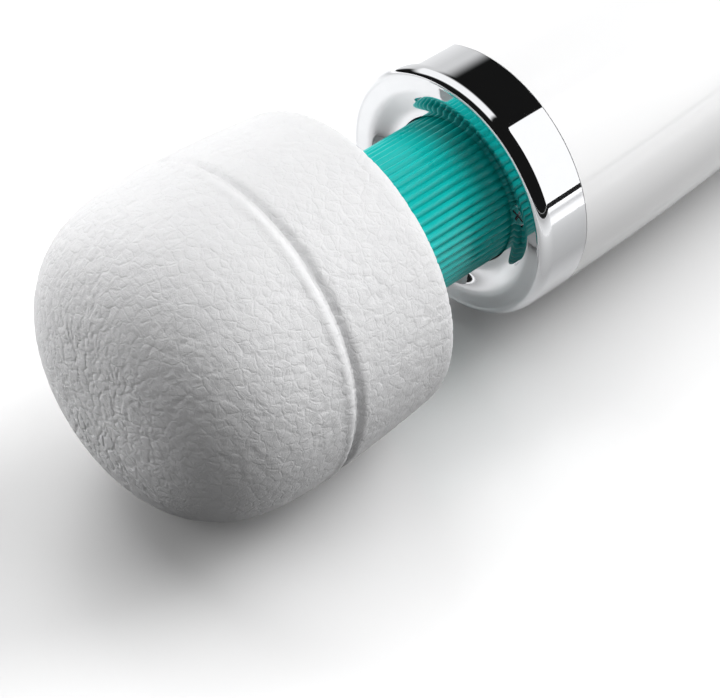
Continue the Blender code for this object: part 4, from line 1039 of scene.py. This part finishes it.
def build_inlet(end, materials):
    """Round charging inlet with its centre pin."""
    start, mouth, flange = reach("charging_jack")
    floor = end - INLET_DEPTH
    flange_start = mouth - JACK_FLANGE_START
    flange_end = mouth - JACK_FLANGE_END
    outline = rounded([
        (0.0, floor, 0.0),
        (INLET_RADIUS, floor, 0.0),
        (INLET_RADIUS, mouth, INLET_ROUNDING),
        (JACK_RADIUS, mouth, INLET_ROUNDING),
        (JACK_RADIUS, flange_start, 0.0),
        (flange, flange_start, 0.0),
        (flange, flange_end, 0.0),
        (JACK_RADIUS, flange_end, 0.0),
        (JACK_RADIUS, start, 0.0),
        (0.0, start, 0.0)], closed=False)
    jack = turned("charging_jack_socket", outline, SMALL_SEGMENTS * 2, closed=False)
    dress(jack, materials["rubber_black"], "handle", "rubber_black", "charging_jack")
    tip = end - PIN_SETBACK
    outline = rounded([
        (0.0, floor - MM, 0.0),
        (PIN_RADIUS, floor - MM, 0.0),
        (PIN_RADIUS, tip, PIN_ROUNDING),
        (0.0, tip, 0.0)], closed=False)
    pin = turned("charging_jack_pin", outline, SMALL_SEGMENTS, closed=False)
    dress(pin, materials["steel"], "handle", "bright_steel")


# Stage


def painted_shade_card_glow():
    """Self-lit grey glow that is painted shade for reflections only: darker near the massager and paler away
    from it, with a soft near edge and a clear underside.
    """
    material, tree, shader, coordinates = start_material("painted_shade_card_glow")
    side = add_node(tree, "ShaderNodeSeparateXYZ", {"Vector": coordinates}).outputs["Y"]
    glow = add_node(tree, "ShaderNodeMapRange", {
        "Value": side, "From Min": CARD_NEAR, "From Max": CARD_FAR,
        "To Min": CARD_DARK, "To Max": CARD_LIGHT})
    tree.links.new(glow.outputs["Result"], shader.inputs["Emission Strength"])
    shader.inputs["Emission Color"].default_value = (1.0, 1.0, 1.0, 1.0)
    shader.inputs["Base Color"].default_value = (0.0, 0.0, 0.0, 1.0)
    shader.inputs["Specular IOR Level"].default_value = 0.0
    below = add_node(tree, "ShaderNodeNewGeometry").outputs["Backfacing"]
    edge = add_node(tree, "ShaderNodeMapRange", {
        "Value": side, "From Min": CARD_NEAR, "From Max": CARD_NEAR + CARD_FADE,
        "To Min": 1.0, "To Max": 0.0},
        interpolation_type="SMOOTHSTEP").outputs["Result"]
    hidden = add_node(tree, "ShaderNodeMath", {0: below, 1: edge}, operation="MAXIMUM").outputs["Value"]
    clear = add_node(tree, "ShaderNodeBsdfTransparent").outputs["BSDF"]
    mix = add_node(tree, "ShaderNodeMixShader", {0: hidden, 1: shader.outputs["BSDF"], 2: clear})
    tree.links.new(mix.outputs["Shader"], tree.nodes["Material Output"].inputs["Surface"])
    return material


def floor_paint():
    """Pale floor with a faint polish, which fades into the white backdrop away from the massager."""
    material, tree, shader, coordinates = start_material("pale_floor")
    cloud = noise_field(tree, coordinates, FLOOR_CLOUD)
    tree.links.new(tint(tree, cloud, (0.49, 0.49, 0.493), (0.51, 0.51, 0.51)), shader.inputs["Base Color"])
    tree.links.new(spread(tree, cloud, 0.12, 0.17), shader.inputs["Roughness"])
    middle = place(0.0, 0.0, FADE_CENTRE)
    away = add_node(tree, "ShaderNodeVectorMath", {0: coordinates, 1: (middle.x, middle.y, 0.0)},
                    operation="DISTANCE").outputs["Value"]
    fade = add_node(tree, "ShaderNodeMapRange", {"Value": away, "From Min": FADE_NEAR, "From Max": FADE_FAR},
                    interpolation_type="SMOOTHSTEP")
    tree.links.new(fade.outputs["Result"], shader.inputs["Emission Strength"])
    shader.inputs["Emission Color"].default_value = (1.0, 1.0, 1.0, 1.0)
    return material


def build_floor():
    """Large pale floor, the flag that the chrome mirrors, and the card whose self-lit glow is painted shade
    in the chrome's reflections.
    """
    floor = flat_sheet("studio_floor", Vector((0.0, 0.0, 0.0)), FLOOR_SIZE, FLOOR_SIZE)
    floor.data.materials.append(floor_paint())
    floor.visible_diffuse = False
    flag = bar("dark_flag", Vector((ORIGIN.x, FLAG_SIDE, FLAG_HEIGHT)), Vector((1.0, 0.0, 0.0)),
               Vector((0.0, 0.0, 1.0)), *FLAG_SIZE)
    flag.data.materials.append(moulded("flag_cloth", (0.01, 0.01, 0.01), 0.9))
    # The card glows with painted shade, darker near the massager and paler away from it, and is seen only in
    # reflections
    card_middle = Vector((ORIGIN.x, (CARD_NEAR + CARD_FAR) / 2, CARD_HEIGHT))
    card = flat_sheet("painted_shade_card", card_middle, CARD_LENGTH, CARD_FAR - CARD_NEAR)
    card.data.materials.append(painted_shade_card_glow())
    for item in (flag, card):
        item.visible_camera = False
        item.visible_diffuse = False
        item.visible_shadow = False
    return floor


def flat_sheet(name, centre, length, width):
    """Level rectangle that faces up."""
    mesh = bpy.data.meshes.new(name)
    signs = ((-1, -1), (1, -1), (1, 1), (-1, 1))
    corners = [centre + Vector((x * length / 2, y * width / 2, 0.0)) for x, y in signs]
    mesh.from_pydata(corners, [], [(0, 1, 2, 3)])
    return link_mesh(name, mesh)


def build_world():
    """Soft dome of light, and the white boxes and dark flags that polished surfaces mirror."""
    world = bpy.data.worlds.new("studio")
    bpy.context.scene.world = world
    world.use_nodes = True
    tree = world.node_tree
    background = tree.nodes["Background"]
    direction = add_node(tree, "ShaderNodeTexCoord").outputs["Generated"]
    parts = add_node(tree, "ShaderNodeSeparateXYZ", {"Vector": direction})
    x, y, z = (parts.outputs[name] for name in "XYZ")
    tilt = add_node(tree, "ShaderNodeMath", {0: y, 1: z}, operation="ARCTAN2").outputs["Value"]

    def times(first, second):
        return add_node(tree, "ShaderNodeMath", {0: first, 1: second}, operation="MULTIPLY").outputs["Value"]

    def brightest(first, second):
        return add_node(tree, "ShaderNodeMath", {0: first, 1: second}, operation="MAXIMUM").outputs["Value"]

    def ramp(value, limits, before, after):
        made = add_node(tree, "ShaderNodeMapRange", {
            "Value": value, "From Min": limits[0], "From Max": limits[1], "To Min": before, "To Max": after},
            interpolation_type="SMOOTHSTEP")
        return made.outputs["Result"]

    corner = add_node(tree, "ShaderNodeCombineXYZ", {
        "X": ramp(x, WINDOW_ACROSS, 0.0, 1.0), "Y": ramp(tilt, WINDOW_FOOT, 1.0, 0.0)}).outputs["Vector"]
    inside = add_node(tree, "ShaderNodeVectorMath", {0: corner}, operation="LENGTH").outputs["Value"]
    window = times(ramp(inside, WINDOW_EDGE, WINDOW_LEVEL, 0.0), ramp(tilt, WINDOW_HEAD, 1.0, 0.0))
    top = times(times(ramp(x, TOP_FRONT, TOP_LEVEL, 0.0), ramp(x, TOP_BACK, 0.0, 1.0)),
                times(ramp(tilt, TOP_FAR_EDGE, 0.0, 1.0), ramp(tilt, TOP_NEAR_EDGE, 1.0, 0.0)))
    shade = add_node(tree, "ShaderNodeMapRange", {
        "Value": z, "From Min": 0.0, "From Max": HORIZON_RISE, "To Min": HORIZON_LEVEL, "To Max": WALL_LEVEL})
    side = times(ramp(tilt, WALL_EDGE, 1.0, 0.0), ramp(x, WALL_FRONT, 1.0, 0.0))
    wall = times(side, shade.outputs["Result"])
    mirrored = brightest(brightest(window, top), brightest(wall, DARK_LEVEL))
    dome = ramp(z, DOME_FOOT, 0.0, DOME_LEVEL)
    rays = add_node(tree, "ShaderNodeLightPath")
    lit = add_node(tree, "ShaderNodeMix", {"Factor": rays.outputs["Is Glossy Ray"], "A": dome, "B": mirrored},
                   data_type="FLOAT").outputs["Result"]
    seen = add_node(tree, "ShaderNodeMix", {"Factor": rays.outputs["Is Camera Ray"], "A": lit, "B": 1.0},
                    data_type="FLOAT").outputs["Result"]
    tree.links.new(seen, background.inputs["Strength"])
    background.inputs["Color"].default_value = (1.0, 1.0, 1.0, 1.0)


def add_softbox(name, direction, size, strength, receivers, blockers=None):
    """Square softbox aimed at the head; it lights some objects, and others may shade them."""
    lamp = bpy.data.lights.new(name, "AREA")
    lamp.shape = "SQUARE"
    lamp.size = size
    lamp.energy = strength * (math.pi * SOFTBOX_DISTANCE) ** 2
    item = bpy.data.objects.new(name, lamp)
    away = direction.normalized()
    item.location = ORIGIN + away * SOFTBOX_DISTANCE
    item.rotation_mode = "QUATERNION"
    item.rotation_quaternion = away.to_track_quat("Z", "Y")
    item.visible_glossy = False
    item.light_linking.receiver_collection = receivers
    item.light_linking.blocker_collection = blockers
    bpy.context.scene.collection.objects.link(item)


def build_lights(floor):
    """Softboxes that light only the massager, and others that light only the floor."""
    massager = bpy.data.collections.new("massager_light_group")
    ground = bpy.data.collections.new("floor_light_group")
    ground.objects.link(floor)
    for item in bpy.context.scene.collection.all_objects:
        if item.type == "MESH" and item != floor:
            massager.objects.link(item)
    for name, (direction, size, strength) in MASSAGER_SOFTBOXES.items():
        add_softbox(name, direction, size, strength, massager, massager)
    for name, (direction, size, strength) in FLOOR_SOFTBOXES.items():
        add_softbox(name, direction, size, strength, ground)


def build_camera():
    """Long lens above and in front of the head, the handle running away from it."""
    camera = bpy.data.cameras.new("camera")
    camera.lens = LENS
    camera.sensor_width = SENSOR_WIDTH
    item = bpy.data.objects.new("camera", camera)
    level = math.cos(CAMERA_LIFT)
    back = Vector((math.sin(CAMERA_TURN) * level, -math.cos(CAMERA_TURN) * level, math.sin(CAMERA_LIFT)))
    right = Vector((math.cos(CAMERA_TURN), math.sin(CAMERA_TURN), 0.0))
    over = back.cross(right)
    item.location = ORIGIN + back * CAMERA_DISTANCE + right * CAMERA_RIGHT + over * CAMERA_OVER
    item.rotation_mode = "QUATERNION"
    item.rotation_quaternion = (-back).to_track_quat("-Z", "Y")
    bpy.context.scene.collection.objects.link(item)
    bpy.context.scene.camera = item


def main():
    """Build the visual model and its stage."""
    by_slot = slot_materials()
    slot_of = {entry["node"]: entry["material_slot"] for entry in frame["record"]["subparts"]}
    for name, item in frame["nodes"].items():
        item.data.materials.clear()
        item.data.materials.append(by_slot[slot_of[name]])
    materials = {
        "leather": leather_white(),
        "teal": teal_rubber(),
        "chrome": chrome(),
        "gloss": gloss_white(),
        "steel": moulded("machined_steel", (0.66, 0.67, 0.69), 0.22, 1.0, grain_size=0.2 * MM),
        "panel": moulded("soft_grey_panel", (0.60, 0.62, 0.64), 0.38),
        "sign": moulded("sign_grey", (0.20, 0.21, 0.22), 0.4),
        "light_amber": by_slot["light_amber"],
        "rubber_black": by_slot["rubber_black"],
    }
    build_head(materials)
    build_sleeve(materials)
    build_spring(materials)
    build_collar(materials)
    build_barrel(materials)
    build_tail(materials)
    build_lights(build_floor())
    build_world()
    build_camera()
    bpy.context.scene.view_settings.view_transform = "Standard"


main()
